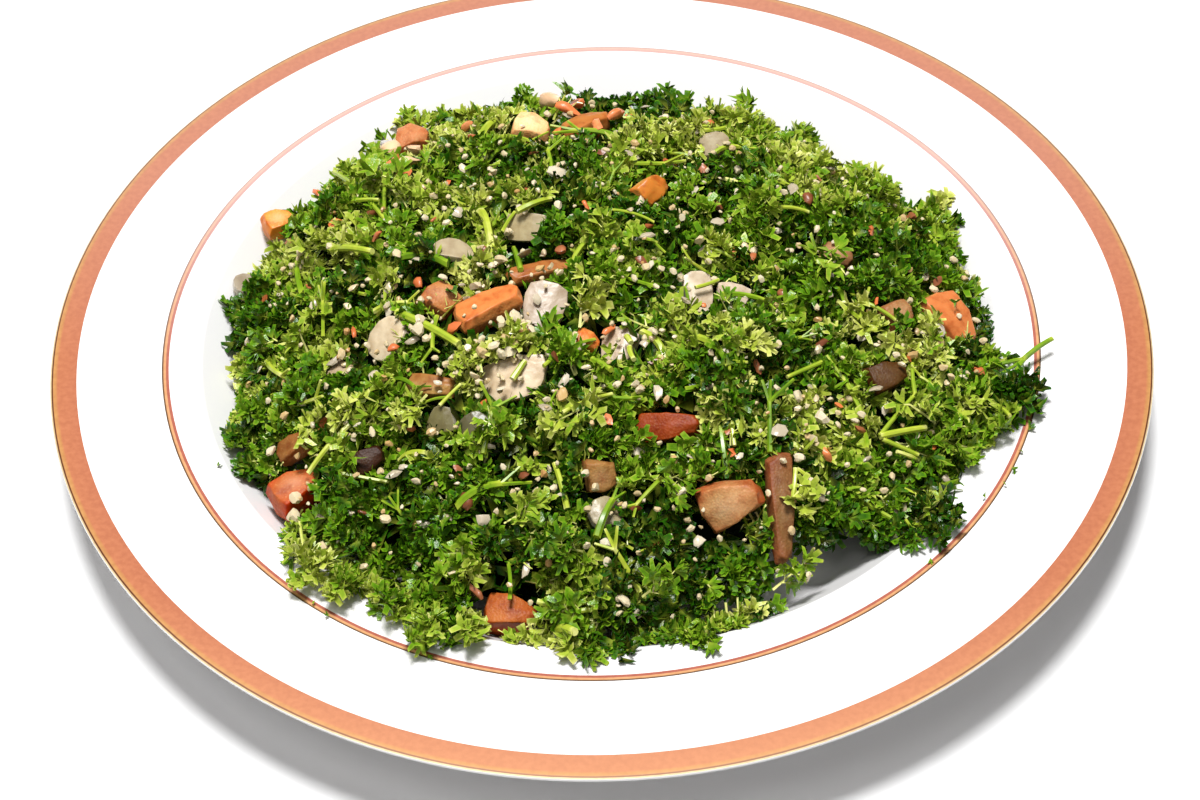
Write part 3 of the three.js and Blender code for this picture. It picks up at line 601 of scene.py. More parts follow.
class Field:
    """Copies of small shapes that are joined into one mesh."""

    def __init__(self):
        self.vertices, self.triangles = [], []
        self.values = {name: [] for name in VALUES}
        self.count = 0

    def add(self, shape, places, turns, sizes, tones, solid=True):
        """Adds a copy for each place, laid on the plate where it would dip into it.

        Copies far under the plate or too high are left out. So are those inside a diced topping,
        unless they are told to be not solid."""
        vertices, triangles, rib, edge = shape
        if not len(places):
            return
        sizes = np.asarray(sizes, dtype=float).reshape(len(places), -1)
        scaled = vertices[None] * sizes[:, None, :]
        placed = np.einsum("kij,knj->kni", turns, scaled) + places[:, None, :]
        floor = plate_height(np.hypot(placed[..., 0], placed[..., 1])) + PLATE_CLEARANCE
        sunk = np.maximum(0, (floor - placed[..., 2]).max(axis=1))
        placed[..., 2] += sunk[:, None]
        kept = (sunk < PLATE_LIFT) & (placed[..., 2] < HEAP_TOP_Z).all(axis=1)
        if solid:
            kept &= ~inside_toppings(placed)
        placed, tones = placed[kept], np.asarray(tones)[kept]
        starts = self.count + np.arange(len(placed))[:, None, None] * len(vertices)
        self.vertices.append(placed.reshape(-1, 3))
        self.triangles.append((triangles[None] + starts).reshape(-1, 3))
        self.values["tone"].append(np.repeat(tones, len(vertices)))
        self.values["rib"].append(np.tile(rib, len(placed)))
        self.values["edge"].append(np.tile(edge, len(placed)))
        self.count += placed.shape[0] * placed.shape[1]

    def scatter(self, shapes, places, turns, sizes, tones):
        """Adds a copy for each place, taking the shapes in turn."""
        turn = np.arange(len(places)) % len(shapes)
        for k, shape in enumerate(shapes):
            part = turn == k
            self.add(shape, places[part], turns[part], sizes[part], tones[part])

    def mesh(self, name, material, crease=LEAF_CREASE):
        """The joined mesh, in metres, with its attributes."""
        vertices = np.concatenate(self.vertices) * MM
        triangles = np.concatenate(self.triangles)
        mesh = bpy.data.meshes.new(name)
        mesh.vertices.add(len(vertices))
        mesh.vertices.foreach_set("co", vertices.astype(np.float32).ravel())
        mesh.loops.add(triangles.size)
        mesh.loops.foreach_set("vertex_index", triangles.astype(np.int32).ravel())
        mesh.polygons.add(len(triangles))
        mesh.polygons.foreach_set("loop_start", np.arange(0, triangles.size, 3, dtype=np.int32))
        mesh.update(calc_edges=True)
        for label, values in self.values.items():
            layer = mesh.attributes.new(label, "FLOAT", "POINT")
            layer.data.foreach_set("value", np.concatenate(values).astype(np.float32))
        mesh.shade_smooth()
        mesh.set_sharp_from_angle(angle=crease)
        mesh.materials.append(material)
        return mesh


def turned(frames, yaw, pitch, roll):
    """Frames turned in their own axes: yaw to the side, then pitch up, then roll."""
    cy, sy = np.cos(yaw), np.sin(yaw)
    cp, sp = np.cos(pitch), np.sin(pitch)
    cr, sr = np.cos(roll), np.sin(roll)
    ahead = frames @ np.stack([cy * cp, sy * cp, sp], axis=-1)[..., None]
    across = np.stack([-sy * cr + cy * sp * sr, cy * cr + sy * sp * sr, -cp * sr], axis=-1)
    side = frames @ across[..., None]
    up = np.cross(ahead[..., 0], side[..., 0])
    return np.stack([ahead[..., 0], side[..., 0], up], axis=-1)


def turns_from(ahead, normal, roll):
    """Rotations whose +X is ahead and whose +Z is near the normal, rolled about ahead."""
    ahead = ahead / np.linalg.norm(ahead, axis=1, keepdims=True)
    side = np.cross(normal, ahead)
    side /= np.linalg.norm(side, axis=1, keepdims=True)
    up = np.cross(ahead, side)
    cos, sin = np.cos(roll)[:, None], np.sin(roll)[:, None]
    return np.stack([ahead, side * cos + up * sin, up * cos - side * sin], axis=-1)


def surface_frames(x, y, heading, lift, roll):
    """Frames on the heap's surface: +X along the heading raised by the lift, +Z off the heap."""
    normal = heap_normal(x, y)
    level = np.stack([np.cos(heading), np.sin(heading), np.zeros(len(x))], axis=1)
    level -= (level * normal).sum(axis=1, keepdims=True) * normal
    level /= np.linalg.norm(level, axis=1, keepdims=True)
    ahead = level * np.cos(lift)[:, None] + normal * np.sin(lift)[:, None]
    return turns_from(ahead, normal, roll)


def on_heap(x, y, height):
    """Places at a height off the heap's surface, along its normal."""
    return np.stack([x, y, heap_height(x, y)], axis=1) + heap_normal(x, y) * height[:, None]


def spread_over_heap(rng, count, reach=1.0, shift=3.5):
    """Places spread evenly over the heap in plan, each with a random shift in millimetres."""
    index = np.arange(count)
    angle = index * math.pi * (3 - math.sqrt(5))
    radius = np.sqrt((index + 0.5) / count) * reach * leafy_share(angle) * outline_radius(angle)
    x = HEAP_CENTRE[0] + radius * np.cos(angle) + rng.uniform(-shift, shift, count)
    y = HEAP_CENTRE[1] + radius * np.sin(angle) + rng.uniform(-shift, shift, count)
    return x, y


def around_heap(rng, count, least, most):
    """Places around the heap's edge, between two shares of its radius, and their angles."""
    angle = rng.uniform(-math.pi, math.pi, count)
    radius = rng.uniform(least, most, count) * outline_radius(angle) * leafy_share(angle)
    return HEAP_CENTRE[0] + radius * np.cos(angle), HEAP_CENTRE[1] + radius * np.sin(angle), angle


def patches(x, y, size, layer):
    """Soft random patches of about a size in millimetres, from -1 to 1."""
    return np.array([noise.noise(Vector((a / size, b / size, layer))) for a, b in zip(x, y)])


def topping_boxes():
    """Centre and half size in plan of each topping that the leaves leave bare, in millimetres."""
    rows = [(np.array((x, y)), np.full(2, size * 0.4)) for x, y, _, size, _ in SCRAPS if size >= 6]
    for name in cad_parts:
        if name.startswith(("tomato", "onion")) and name not in COVERED:
            low, high = (np.array(corner[:2]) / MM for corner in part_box(name))
            rows.append(((low + high) / 2, (high - low) / 2 + EXTRA_MARGIN.get(name, 0.0)))
    return rows


TOPPINGS = topping_boxes()


def clear_of_toppings(x, y, margin):
    """True where a place is off every topping, by a margin in millimetres.

    The margin is wider on the diner's side."""
    free = np.ones(len(x), dtype=bool)
    for centre, half in TOPPINGS:
        across = (x - centre[0]) / (half[0] + margin)
        reach = np.where(y < centre[1], half[1] + margin * 1.6, half[1] + margin * 0.6)
        free &= across**2 + ((y - centre[1]) / reach) ** 2 > 1
    return free


# Materials


def leaf_material():
    """Fresh curly parsley, chopped and moist.

    It looks waxy and dark green, with pale ribs and fine wrinkles, and its thin light edges are a
    painted highlight."""
    material, tree = new_material("curly parsley leaf")
    place = add_node(tree, "TexCoord").outputs["Object"]
    tone, rib, edge = (
        add_node(tree, "Attribute", attribute_name=name).outputs["Fac"] for name in VALUES
    )
    mottle = add_node(tree, "TexNoise", {"Vector": place, "Scale": 1 / (3.0 * MM), "Detail": 3.0})
    # The small veins lie closer than this, and are drawn 0.8 mm apart so that they show.
    wrinkle = add_node(tree, "TexNoise", {"Vector": place, "Scale": 1 / (0.8 * MM), "Detail": 2.0})
    # The teeth at the end of each lobe are painted lighter, as a painted highlight.
    line = add_node(tree, "MapRange", {"Value": edge, "From Min": 0.6, "From Max": 1.0})
    tone_with_painted_edge_highlight = add_node(tree, "Math", {0: line, 1: 0.22, 2: tone}, operation="MULTIPLY_ADD")
    mottled = add_node(tree, "Math", {0: mottle, 1: 0.3, 2: tone_with_painted_edge_highlight}, operation="MULTIPLY_ADD")
    centred = add_node(tree, "Math", {0: mottled, 1: 0.15}, operation="SUBTRACT")
    green = add_node(
        tree,
        "ValToRGB",
        {"Fac": centred},
        stops=(
            (0.0, "#011900"),
            (0.25, "#1A5605"),
            (0.5, "#62900F"),
            (0.75, "#A4B23E"),
            (1.0, "#D0D078"),
        ),
    )
    amount = add_node(tree, "Math", {0: rib, 1: 0.5}, operation="MULTIPLY")
    ribbed = add_node(
        tree, "Mix", {FACTOR: amount, FIRST: green, SECOND: linear("#BCC444")}, data_type="RGBA"
    )
    bump = add_node(tree, "Bump", {"Height": wrinkle, "Strength": 0.6, "Distance": 0.3 * MM})
    shader = add_node(
        tree,
        "BsdfPrincipled",
        {"Base Color": ribbed, "Roughness": 0.27, "Specular IOR Level": 0.23, "Normal": bump},
    )
    add_node(tree, "OutputMaterial", {"Surface": shader})
    return material


def stalk_material():
    """Parsley stalk: smooth and wet, yellow-green with faint ridges, paler at the cut."""
    material, tree = new_material("parsley stalk")
    place = add_node(tree, "TexCoord").outputs["Object"]
    tone, ridge, cut = (
        add_node(tree, "Attribute", attribute_name=name).outputs["Fac"] for name in VALUES
    )
    mottle = add_node(tree, "TexNoise", {"Vector": place, "Scale": 1 / (2.0 * MM), "Detail": 2.0})
    mottled = add_node(tree, "Math", {0: mottle, 1: 0.3, 2: tone}, operation="MULTIPLY_ADD")
    ridged = add_node(tree, "Math", {0: ridge, 1: -0.12, 2: mottled}, operation="MULTIPLY_ADD")
    paled = add_node(tree, "Math", {0: cut, 1: 0.25, 2: ridged}, operation="MULTIPLY_ADD")
    green = add_node(
        tree,
        "ValToRGB",
        {"Fac": paled},
        stops=((0.0, "#35600A"), (0.4, "#779A18"), (0.75, "#B3BF3C"), (1.0, "#DCDC84")),
    )
    shader = add_node(
        tree, "BsdfPrincipled", {"Base Color": green, "Roughness": 0.28, "Specular IOR Level": 0.4}
    )
    add_node(tree, "OutputMaterial", {"Surface": shader})
    return material


def grain_material():
    """Soaked cracked wheat: cream, moist and slightly see-through, a few grains toasted."""
    material, tree = new_material("soaked bulgur")
    place = add_node(tree, "TexCoord").outputs["Object"]
    tone = add_node(tree, "Attribute", attribute_name="tone").outputs["Fac"]
    cream = add_node(
        tree,
        "ValToRGB",
        {"Fac": tone},
        stops=((0.0, "#A86C2C"), (0.06, "#C4A066"), (0.3, "#D0BC92"), (1.0, "#DCCEAE")),
    )
    # The broken face of a grain is finer than this, and is drawn coarser so that it shows.
    crumb = add_node(tree, "TexNoise", {"Vector": place, "Scale": 1 / (0.7 * MM), "Detail": 2.0})
    bump = add_node(tree, "Bump", {"Height": crumb, "Strength": 0.4, "Distance": 0.2 * MM})
    shader = add_node(
        tree,
        "BsdfPrincipled",
        {
            "Base Color": cream,
            "Roughness": 0.36,
            "Subsurface Weight": 0.2,
            "Subsurface Radius": (1.0, 0.7, 0.4),
            "Subsurface Scale": 0.6 * MM,
            "Normal": bump,
        },
    )
    add_node(tree, "OutputMaterial", {"Surface": shader})
    return material


def tomato_material():
    """Raw diced tomato: waxy skin, and wet cut flesh with pale fibres and a fine grain."""
    material, tree = new_material("diced tomato")
    place = add_node(tree, "TexCoord").outputs["Object"]
    skin = add_node(tree, "Attribute", attribute_name="skin").outputs["Fac"]
    paint = add_node(tree, "Attribute", attribute_name="colour")
    juice = add_node(tree, "TexNoise", {"Vector": place, "Scale": 1 / (2.6 * MM), "Detail": 4.0})
    stain = add_node(
        tree,
        "ValToRGB",
        {"Fac": juice},
        stops=((0.3, "#CFA88C"), (0.5, "#F7EEE6"), (0.7, "#FFFFFF")),
    )
    toned = add_node(
        tree,
        "Mix",
        {FACTOR: 0.85, FIRST: paint.outputs["Color"], SECOND: stain},
        data_type="RGBA",
        blend_type="MULTIPLY",
    )
    # Real fibres are thinner than this, and are drawn 0.6 mm apart so that they show.
    strand = add_node(tree, "TexNoise", {"Vector": place, "Scale": 1 / (0.6 * MM), "Detail": 5.0})
    fibre = add_node(
        tree, "MapRange", {"Value": strand, "From Min": 0.55, "From Max": 0.75, "To Max": 1.1}
    )
    pale = add_node(tree, "Math", {0: fibre, 1: paint.outputs["Fac"]}, operation="MULTIPLY")
    flesh = add_node(tree, "Math", {0: 1.0, 1: skin}, operation="SUBTRACT")
    amount = add_node(tree, "Math", {0: pale, 1: flesh}, operation="MULTIPLY")
    streaked = add_node(
        tree, "Mix", {FACTOR: amount, FIRST: toned, SECOND: linear("#EFB878")}, data_type="RGBA"
    )
    rough = add_node(tree, "MapRange", {"Value": skin, "To Min": 0.5, "To Max": 0.32})
    depth = add_node(tree, "MapRange", {"Value": skin, "To Min": 0.35, "To Max": 0.05})
    # Real cells are about 0.3 mm wide, and are drawn twice as wide so that they show.
    cells = add_node(tree, "TexVoronoi", {"Vector": place, "Scale": 1.7 / MM})
    bump = add_node(tree, "Bump", {"Height": cells, "Strength": depth, "Distance": 0.25 * MM})
    shader = add_node(
        tree,
        "BsdfPrincipled",
        {
            "Base Color": streaked,
            "Roughness": rough,
            "Specular IOR Level": 0.22,
            "Subsurface Weight": 0.15,
            "Subsurface Radius": (1.0, 0.3, 0.15),
            "Subsurface Scale": 1.5 * MM,
            "Normal": bump,
        },
    )
    add_node(tree, "OutputMaterial", {"Surface": shader})
    return material


def onion_material():
    """Raw diced onion: wet and glassy, milky where it is cut, with a soft unevenness."""
    material, tree = new_material("diced onion")
    place = add_node(tree, "TexCoord").outputs["Object"]
    own = add_node(tree, "Attribute", attribute_name="colour").outputs["Color"]
    milk = add_node(tree, "TexNoise", {"Vector": place, "Scale": 1 / (3.0 * MM), "Detail": 3.0})
    cloud = add_node(
        tree, "ValToRGB", {"Fac": milk}, stops=((0.35, "#D9CFC4"), (0.65, "#FFFFFF"))
    )
    clouded = add_node(
        tree,
        "Mix",
        {FACTOR: 0.8, FIRST: own, SECOND: cloud},
        data_type="RGBA",
        blend_type="MULTIPLY",
    )
    wave = add_node(tree, "TexNoise", {"Vector": place, "Scale": 1 / (1.2 * MM), "Detail": 2.0})
    bump = add_node(tree, "Bump", {"Height": wave, "Strength": 0.3, "Distance": 0.3 * MM})
    shader = add_node(
        tree,
        "BsdfPrincipled",
        {
            "Base Color": clouded,
            "Roughness": 0.33,
            "Specular IOR Level": 0.4,
            "Subsurface Weight": 0.4,
            "Subsurface Radius": (1.0, 0.9, 0.75),
            "Subsurface Scale": 1.5 * MM,
            "Normal": bump,
        },
    )
    add_node(tree, "OutputMaterial", {"Surface": shader})
    return material


def foil_material(name, stops, far_paleness, bright):
    """Hot-stamped copper foil: satin, finely streaked, with a dark line at its outer edge.

    The third value is how much paler the foil is towards the plate's far side, and bright how much
    paler and warmer it is painted towards its near side, as a painted highlight."""
    material, tree = new_material(name)
    place = add_node(tree, "TexCoord").outputs["Object"]
    across = add_node(tree, "Attribute", attribute_name="across").outputs["Fac"]
    own = add_node(tree, "ValToRGB", {"Fac": across}, stops=stops)
    # The drag of the stamp is finer than this, and is drawn 1.3 mm wide so that it shows.
    drag = add_node(tree, "TexNoise", {"Vector": place, "Scale": 1 / (1.3 * MM), "Detail": 5.0})
    streak = add_node(
        tree,
        "ValToRGB",
        {"Fac": drag},
        stops=((0.35, "#F0E8E4"), (0.5, "#F8F4F0"), (0.65, "#FFFFFF")),
    )
    toned = add_node(
        tree,
        "Mix",
        {FACTOR: 1.0, FIRST: own, SECOND: streak},
        data_type="RGBA",
        blend_type="MULTIPLY",
    )
    depth = add_node(tree, "SeparateXYZ", {"Vector": place}).outputs["Y"]
    # The foil is painted paler and warmer towards the plate's near side, as a painted highlight,
    # and is paler towards its far side.
    near = add_node(
        tree,
        "MapRange",
        {"Value": depth, "From Min": -80 * MM, "From Max": -125 * MM, "To Max": bright},
    )
    far = add_node(
        tree,
        "MapRange",
        {"Value": depth, "From Min": -10 * MM, "From Max": 55 * MM, "To Max": far_paleness},
    )
    lifted = add_node(
        tree, "Mix", {FACTOR: near, FIRST: toned, SECOND: linear("#F6BC8E")}, data_type="RGBA"
    )
    colour = add_node(
        tree, "Mix", {FACTOR: far, FIRST: lifted, SECOND: linear("#D4B4AE")}, data_type="RGBA"
    )
    satin = add_node(tree, "TexNoise", {"Vector": place, "Scale": 1 / (1.1 * MM), "Detail": 4.0})
    rough = add_node(tree, "MapRange", {"Value": satin, "To Min": 0.4, "To Max": 0.55})
    shader = add_node(
        tree, "BsdfPrincipled", {"Base Color": colour, "Metallic": 0.2, "Roughness": rough}
    )
    add_node(tree, "OutputMaterial", {"Surface": shader})
    return material


# Pieces


def make_plate():
    """The moulded plate: one turned profile whose foil bands are faces of their own colour."""
    settings = bpy.context.scene.salad_plate
    # Moulded polystyrene: a hard and glossy warm white, with broad soft changes in its shine.
    white, tree = new_material("moulded white polystyrene")
    place = add_node(tree, "TexCoord").outputs["Object"]
    shine = add_node(tree, "TexNoise", {"Vector": place, "Scale": 1 / (25.0 * MM), "Detail": 3.0})
    rough = add_node(tree, "MapRange", {"Value": shine, "To Min": 0.12, "To Max": 0.22})
    cloud = add_node(tree, "TexNoise", {"Vector": place, "Scale": 1 / (40.0 * MM), "Detail": 2.0})
    clean, dull = (tuple(c * share for c in settings.white) + (1.0,) for share in (1.0, 0.985))
    tint = add_node(tree, "Mix", {FACTOR: cloud, FIRST: clean, SECOND: dull}, data_type="RGBA")
    shader = add_node(tree, "BsdfPrincipled", {"Base Color": tint, "Roughness": rough})
    add_node(tree, "OutputMaterial", {"Surface": shader})
    foils = [
        foil_material("copper foil ring", RING_STOPS, 0.7, 0.0),
        foil_material("copper foil band", BAND_STOPS, 0.15, 0.22),
    ]
    ring, band = settings.ring_radius / MM, settings.band_radius / MM
    rings = (ring - RING_HALF_WIDTH, ring + RING_HALF_WIDTH, band, BAND_OUTER_RADIUS)
    zones = (rings[:2], rings[2:])
    upper = rounded(PLATE_UPPER, 8)
    for radius in rings:
        i = next(k for k, p in enumerate(upper) if p.x > radius)
        upper.insert(i, Vector((radius, float(plate_height(radius)))))
    profile = upper + rounded(PLATE_LOWER, 5)
    bm = bmesh.new()
    points = [bm.verts.new((p.x * MM, 0, p.y * MM)) for p in profile]
    edges = [bm.edges.new(pair) for pair in zip(points, points[1:])]
    bmesh.ops.spin(
        bm,
        geom=points + edges,
        axis=(0, 0, 1),
        cent=(0, 0, 0),
        angle=2 * math.pi,
        steps=PLATE_STEPS,
        use_merge=True,
    )
    bmesh.ops.remove_doubles(bm, verts=bm.verts[:], dist=1e-6)
    bmesh.ops.recalc_face_normals(bm, faces=bm.faces[:])
    for face in bm.faces:
        face.smooth = True
        middle = face.calc_center_median()
        radius = math.hypot(middle.x, middle.y) / MM
        for k, (inner, outer) in enumerate(zones):
            if inner < radius < outer and middle.z > EDGE_Z * MM:
                face.material_index = k + 1
    across = []
    for vertex in bm.verts:
        radius = math.hypot(vertex.co.x, vertex.co.y) / MM
        inner, outer = zones[0] if radius < rings[1] + 0.01 else zones[1]
        across.append(min(1.0, max(0.0, (radius - inner) / (outer - inner))))
    mesh = mesh_from_bmesh("dinner_plate", bm, white, *foils)
    mesh.attributes.new("across", "FLOAT", "POINT").data.foreach_set("value", across)
    add_piece("dinner_plate", mesh, "white_plastic", "plate")


def make_core():
    """The mass of leaves under the ones that show, painted dark as painted shade."""
    # Chopped leaves pressed together deep in the heap, painted nearly black green as painted shade,
    # rough and without shine.
    material, tree = new_material("packed parsley")
    place = add_node(tree, "TexCoord").outputs["Object"]
    mottle = add_node(tree, "TexNoise", {"Vector": place, "Scale": 1 / (3.0 * MM), "Detail": 5.0})
    green = add_node(
        tree,
        "ValToRGB",
        {"Fac": mottle},
        stops=((0.35, "#010400"), (0.6, "#071403"), (0.8, "#12280A")),
    )
    bump = add_node(tree, "Bump", {"Height": mottle, "Strength": 1.0, "Distance": 2.0 * MM})
    shader = add_node(
        tree,
        "BsdfPrincipled",
        {"Base Color": green, "Roughness": 0.9, "Specular IOR Level": 0.1, "Normal": bump},
    )
    add_node(tree, "OutputMaterial", {"Surface": shader})
    bm = bmesh.new()
    bmesh.ops.create_uvsphere(bm, u_segments=120, v_segments=72, radius=1)
    for vertex in bm.verts:
        angle = math.atan2(vertex.co.y, vertex.co.x)
        polar = math.acos(max(-1, min(1, vertex.co.z)))
        above = polar <= math.pi / 2 + 1e-4
        share = polar / (math.pi / 2) if above else (math.pi - polar) / (math.pi / 2)
        edge = outline_radius(angle) * leafy_share(angle)
        radius = share * float(edge - CORE_INSET - CORE_INSET * near_side(angle))
        x = HEAP_CENTRE[0] + radius * math.cos(angle)
        y = HEAP_CENTRE[1] + radius * math.sin(angle)
        coarse = noise.noise(Vector((x, y, 0)) * 0.16)
        lump = 1.6 * coarse + 0.8 * noise.noise(Vector((x, y, 9)) * 0.4)
        # It falls away by 3 mm over the last of its radius.
        rim = 3.0 * max(0.0, share - 0.85) / 0.15
        if above:
            z = float(heap_height(x, y)) - CORE_DEPTH - rim + lump
        else:
            z = float(plate_height(math.hypot(x, y))) + 0.4
        vertex.co = (x * MM, y * MM, z * MM)
    bmesh.ops.recalc_face_normals(bm, faces=bm.faces[:])
    for face in bm.faces:
        face.smooth = True
    mesh = mesh_from_bmesh("packed_parsley", bm, material)
    add_piece("packed_parsley", mesh, "parsley", "salad_heap")


def make_under_leaves():
    """Dark leaflets on the core and down the heap's side, those on the core painted very dark as
    painted shade, and crumbs of leaf on the rim.
    """
    settings = bpy.context.scene.salad_parsley
    rng = np.random.default_rng(UNDER_LEAF_SEED)
    scale = 1.0
    shapes = lobe_shapes(rng, 3)
    under = Field()
    count = int(settings.under_leaves * scale)
    x, y = spread_over_heap(rng, count, 0.97)
    heading = rng.uniform(0, 2 * math.pi, count)
    lift, roll = rng.uniform(-0.3, 0.6, count), rng.normal(0, 0.6, count)
    frames = surface_frames(x, y, heading, lift, roll)
    places = on_heap(x, y, rng.uniform(-4.4, -1.4, count))
    # The leaflets on the core are painted very dark, as painted shade.
    tones = np.clip(rng.normal(0.08, 0.1, count), 0, 0.5)
    under.scatter(shapes, places, frames, rng.uniform(4, 7, count), tones)

    x, y, angle = around_heap(rng, int(settings.side_leaves * scale), 0.88, 1.0)
    kept = rng.random(len(x)) > 0.55 * near_side(angle)
    x, y, angle = x[kept], y[kept], angle[kept]
    count = len(x)
    low, high = plate_height(np.hypot(x, y)) + 1.0, heap_height(x, y) - 0.5
    outward = np.stack([np.cos(angle), np.sin(angle), rng.uniform(-0.3, 0.7, count)], axis=1)
    upright = np.tile((0.0, 0.0, 1.0), (count, 1))
    still = np.zeros(count)
    frames = turns_from(outward, upright, rng.normal(0, 0.8, count))
    frames = turned(frames, rng.normal(0, 0.7, count), still, still)
    level = rng.uniform(0.25, 1.0, count)
    places = np.stack([x, y, low + (high - low) * level], axis=1) - frames[:, :, 0] * 2.0
    tones = np.clip(rng.normal(0.32, 0.12, count), 0, 0.7)
    under.scatter(shapes, places, frames, rng.uniform(3.0, 5.5, count), tones)

    rows = np.array(CRUMBS)
    count = len(rows)
    height = plate_height(np.hypot(rows[:, 0], rows[:, 1])) + 0.6
    heading = rng.uniform(0, 2 * math.pi, count)
    ahead = np.stack([np.cos(heading), np.sin(heading), np.full(count, 0.1)], axis=1)
    upright = np.tile((0.0, 0.0, 1.0), (count, 1))
    frames = turns_from(ahead, upright, rng.normal(0, 0.1, count))
    places = np.stack([rows[:, 0], rows[:, 1], height], axis=1)
    under.scatter(shapes, places, frames, rows[:, 2], rng.uniform(0.2, 0.6, count))
    mesh = under.mesh("parsley_under_leaves", leaf_material())
    add_piece("parsley_under_leaves", mesh, "parsley")


def grow_sprigs(rng, leaves, ribs, shapes, bow, roots, frames, length, tone, over=0.06):
    """Curly sprigs: a bowed midrib with side branches, each ending in a few lobes.

    Over is the share of the lobes that may lie over a diced topping."""
    count = len(roots)
    paler = np.clip(tone + rng.uniform(0.1, 0.5, count), 0, 1)
    width = rng.uniform(0.5, 0.9, count) * (0.7 + 0.03 * length)
    ribs.add(shapes["midribs"][bow], roots, frames, np.stack([length, width, width], axis=1), paler)
    for along, side, share in BRANCHES:
        there = rng.random(count) < 0.95
        n = int(there.sum())
        ahead, up = frames[there][:, :, 0], frames[there][:, :, 2]
        rise = bow * 4 * along * (1 - along)
        hubs = roots[there] + (ahead * along + up * rise) * length[there][:, None]
        slope = np.full(n, math.atan(4 * bow * (1 - 2 * along)))
        still = np.zeros(n)
        tangent = turned(frames[there], still, slope, still)
        yaw = side * rng.uniform(0.7, 1.15, n) + (side == 0) * rng.normal(0, 0.2, n)
        branch = turned(tangent, yaw, rng.normal(0.1, 0.3, n), rng.normal(0, 0.4, n))
        reach = length[there] * share * rng.uniform(0.6, 1.1, n)
        thin = width[there] * rng.uniform(0.45, 0.7, n)
        ribs.add(shapes["twig"], hubs, branch, np.stack([reach, thin, thin], axis=1), paler[there])
        hue = tone[there] + rng.normal(0, 0.04, n)
        for place, fan, part in LOBES:
            base = hubs + branch[:, :, 0] * (reach * place)[:, None]
            clear = clear_of_toppings(base[:, 0], base[:, 1], 0.4) | (rng.random(n) < over)
            shown = clear & (rng.random(n) < 0.95)
            m = int(shown.sum())
            yaw, pitch = fan + rng.normal(0, 0.12, m), rng.normal(0.1, 0.3, m)
            turns = turned(branch[shown], yaw, pitch, rng.normal(0, 0.36, m))
            size = rng.uniform(3.0, 4.8, m) * part * (0.7 + 0.035 * length[there][shown])
            tones = np.clip(hue[shown] + rng.normal(0, 0.035, m), 0, 1)
            leaves.scatter(shapes["lobes"], base[shown], turns, size, tones)


def parsley_tone(rng, x, y):
    """Green of each sprig: darker and lighter patches over the heap, and a few lime sprigs."""
    count = len(x)
    back = np.clip((y - x * 0.5) / 90, -1, 1)
    tone = rng.normal(0.38, 0.15, count) + 0.62 * patches(x, y, 20, 3.0) + 0.05 * back
    for patch_x, patch_y, radius, change in LIGHTER:
        tone += change * np.exp(-((x - patch_x) ** 2 + (y - patch_y) ** 2) / radius**2)
    lime = rng.random(count) < 0.06
    return np.where(lime, rng.uniform(0.55, 0.82, count), np.clip(tone, 0.04, 0.7))


def grow_rim_sprigs(rng, leaves, ribs, shapes, rows):
    """Four sprigs out over the plate's rim for each row."""
    angle, past, pile = np.repeat(rows, 4, axis=0).T
    angle = np.radians(angle + rng.normal(0, 1.6, len(angle)))
    past = past * rng.uniform(0.7, 1.1, len(past))
    radius = outline_radius(angle) + past - RIM_INSET
    x, y = HEAP_CENTRE[0] + radius * np.cos(angle), HEAP_CENTRE[1] + radius * np.sin(angle)
    roll, lift = rng.normal(0, 0.5, len(x)), rng.uniform(-0.1, 0.35, len(x))
    frames = surface_frames(x, y, angle + rng.normal(0, 0.45, len(x)), lift, roll)
    roots = on_heap(x, y, -1.5 + (pile + 1.5) * rng.random(len(x)))
    reach, tone = rng.uniform(5, 7, len(x)), parsley_tone(rng, x, y)
    grow_sprigs(rng, leaves, ribs, shapes, BOWS[1], roots, frames, reach, tone)


def grow_bright_sprigs(rng, leaves, ribs, shapes):
    """The bright sprigs of the table, which may lie over a diced topping."""
    x, y, tip_x, tip_y, pale = np.array(BRIGHT_SPRIGS).T
    roots = on_heap(x, y, np.full(len(x), 2.6))
    rise, roll = rng.uniform(0.1, 0.4, len(x)), rng.normal(0, 0.3, len(x))
    frames = surface_frames(x, y, np.arctan2(tip_y - y, tip_x - x), rise, roll)
    reach = np.clip(np.hypot(tip_x - x, tip_y - y), 8, 14)
    grow_sprigs(rng, leaves, ribs, shapes, BOWS[1], roots, frames, reach, pale * 0.82, 1.0)


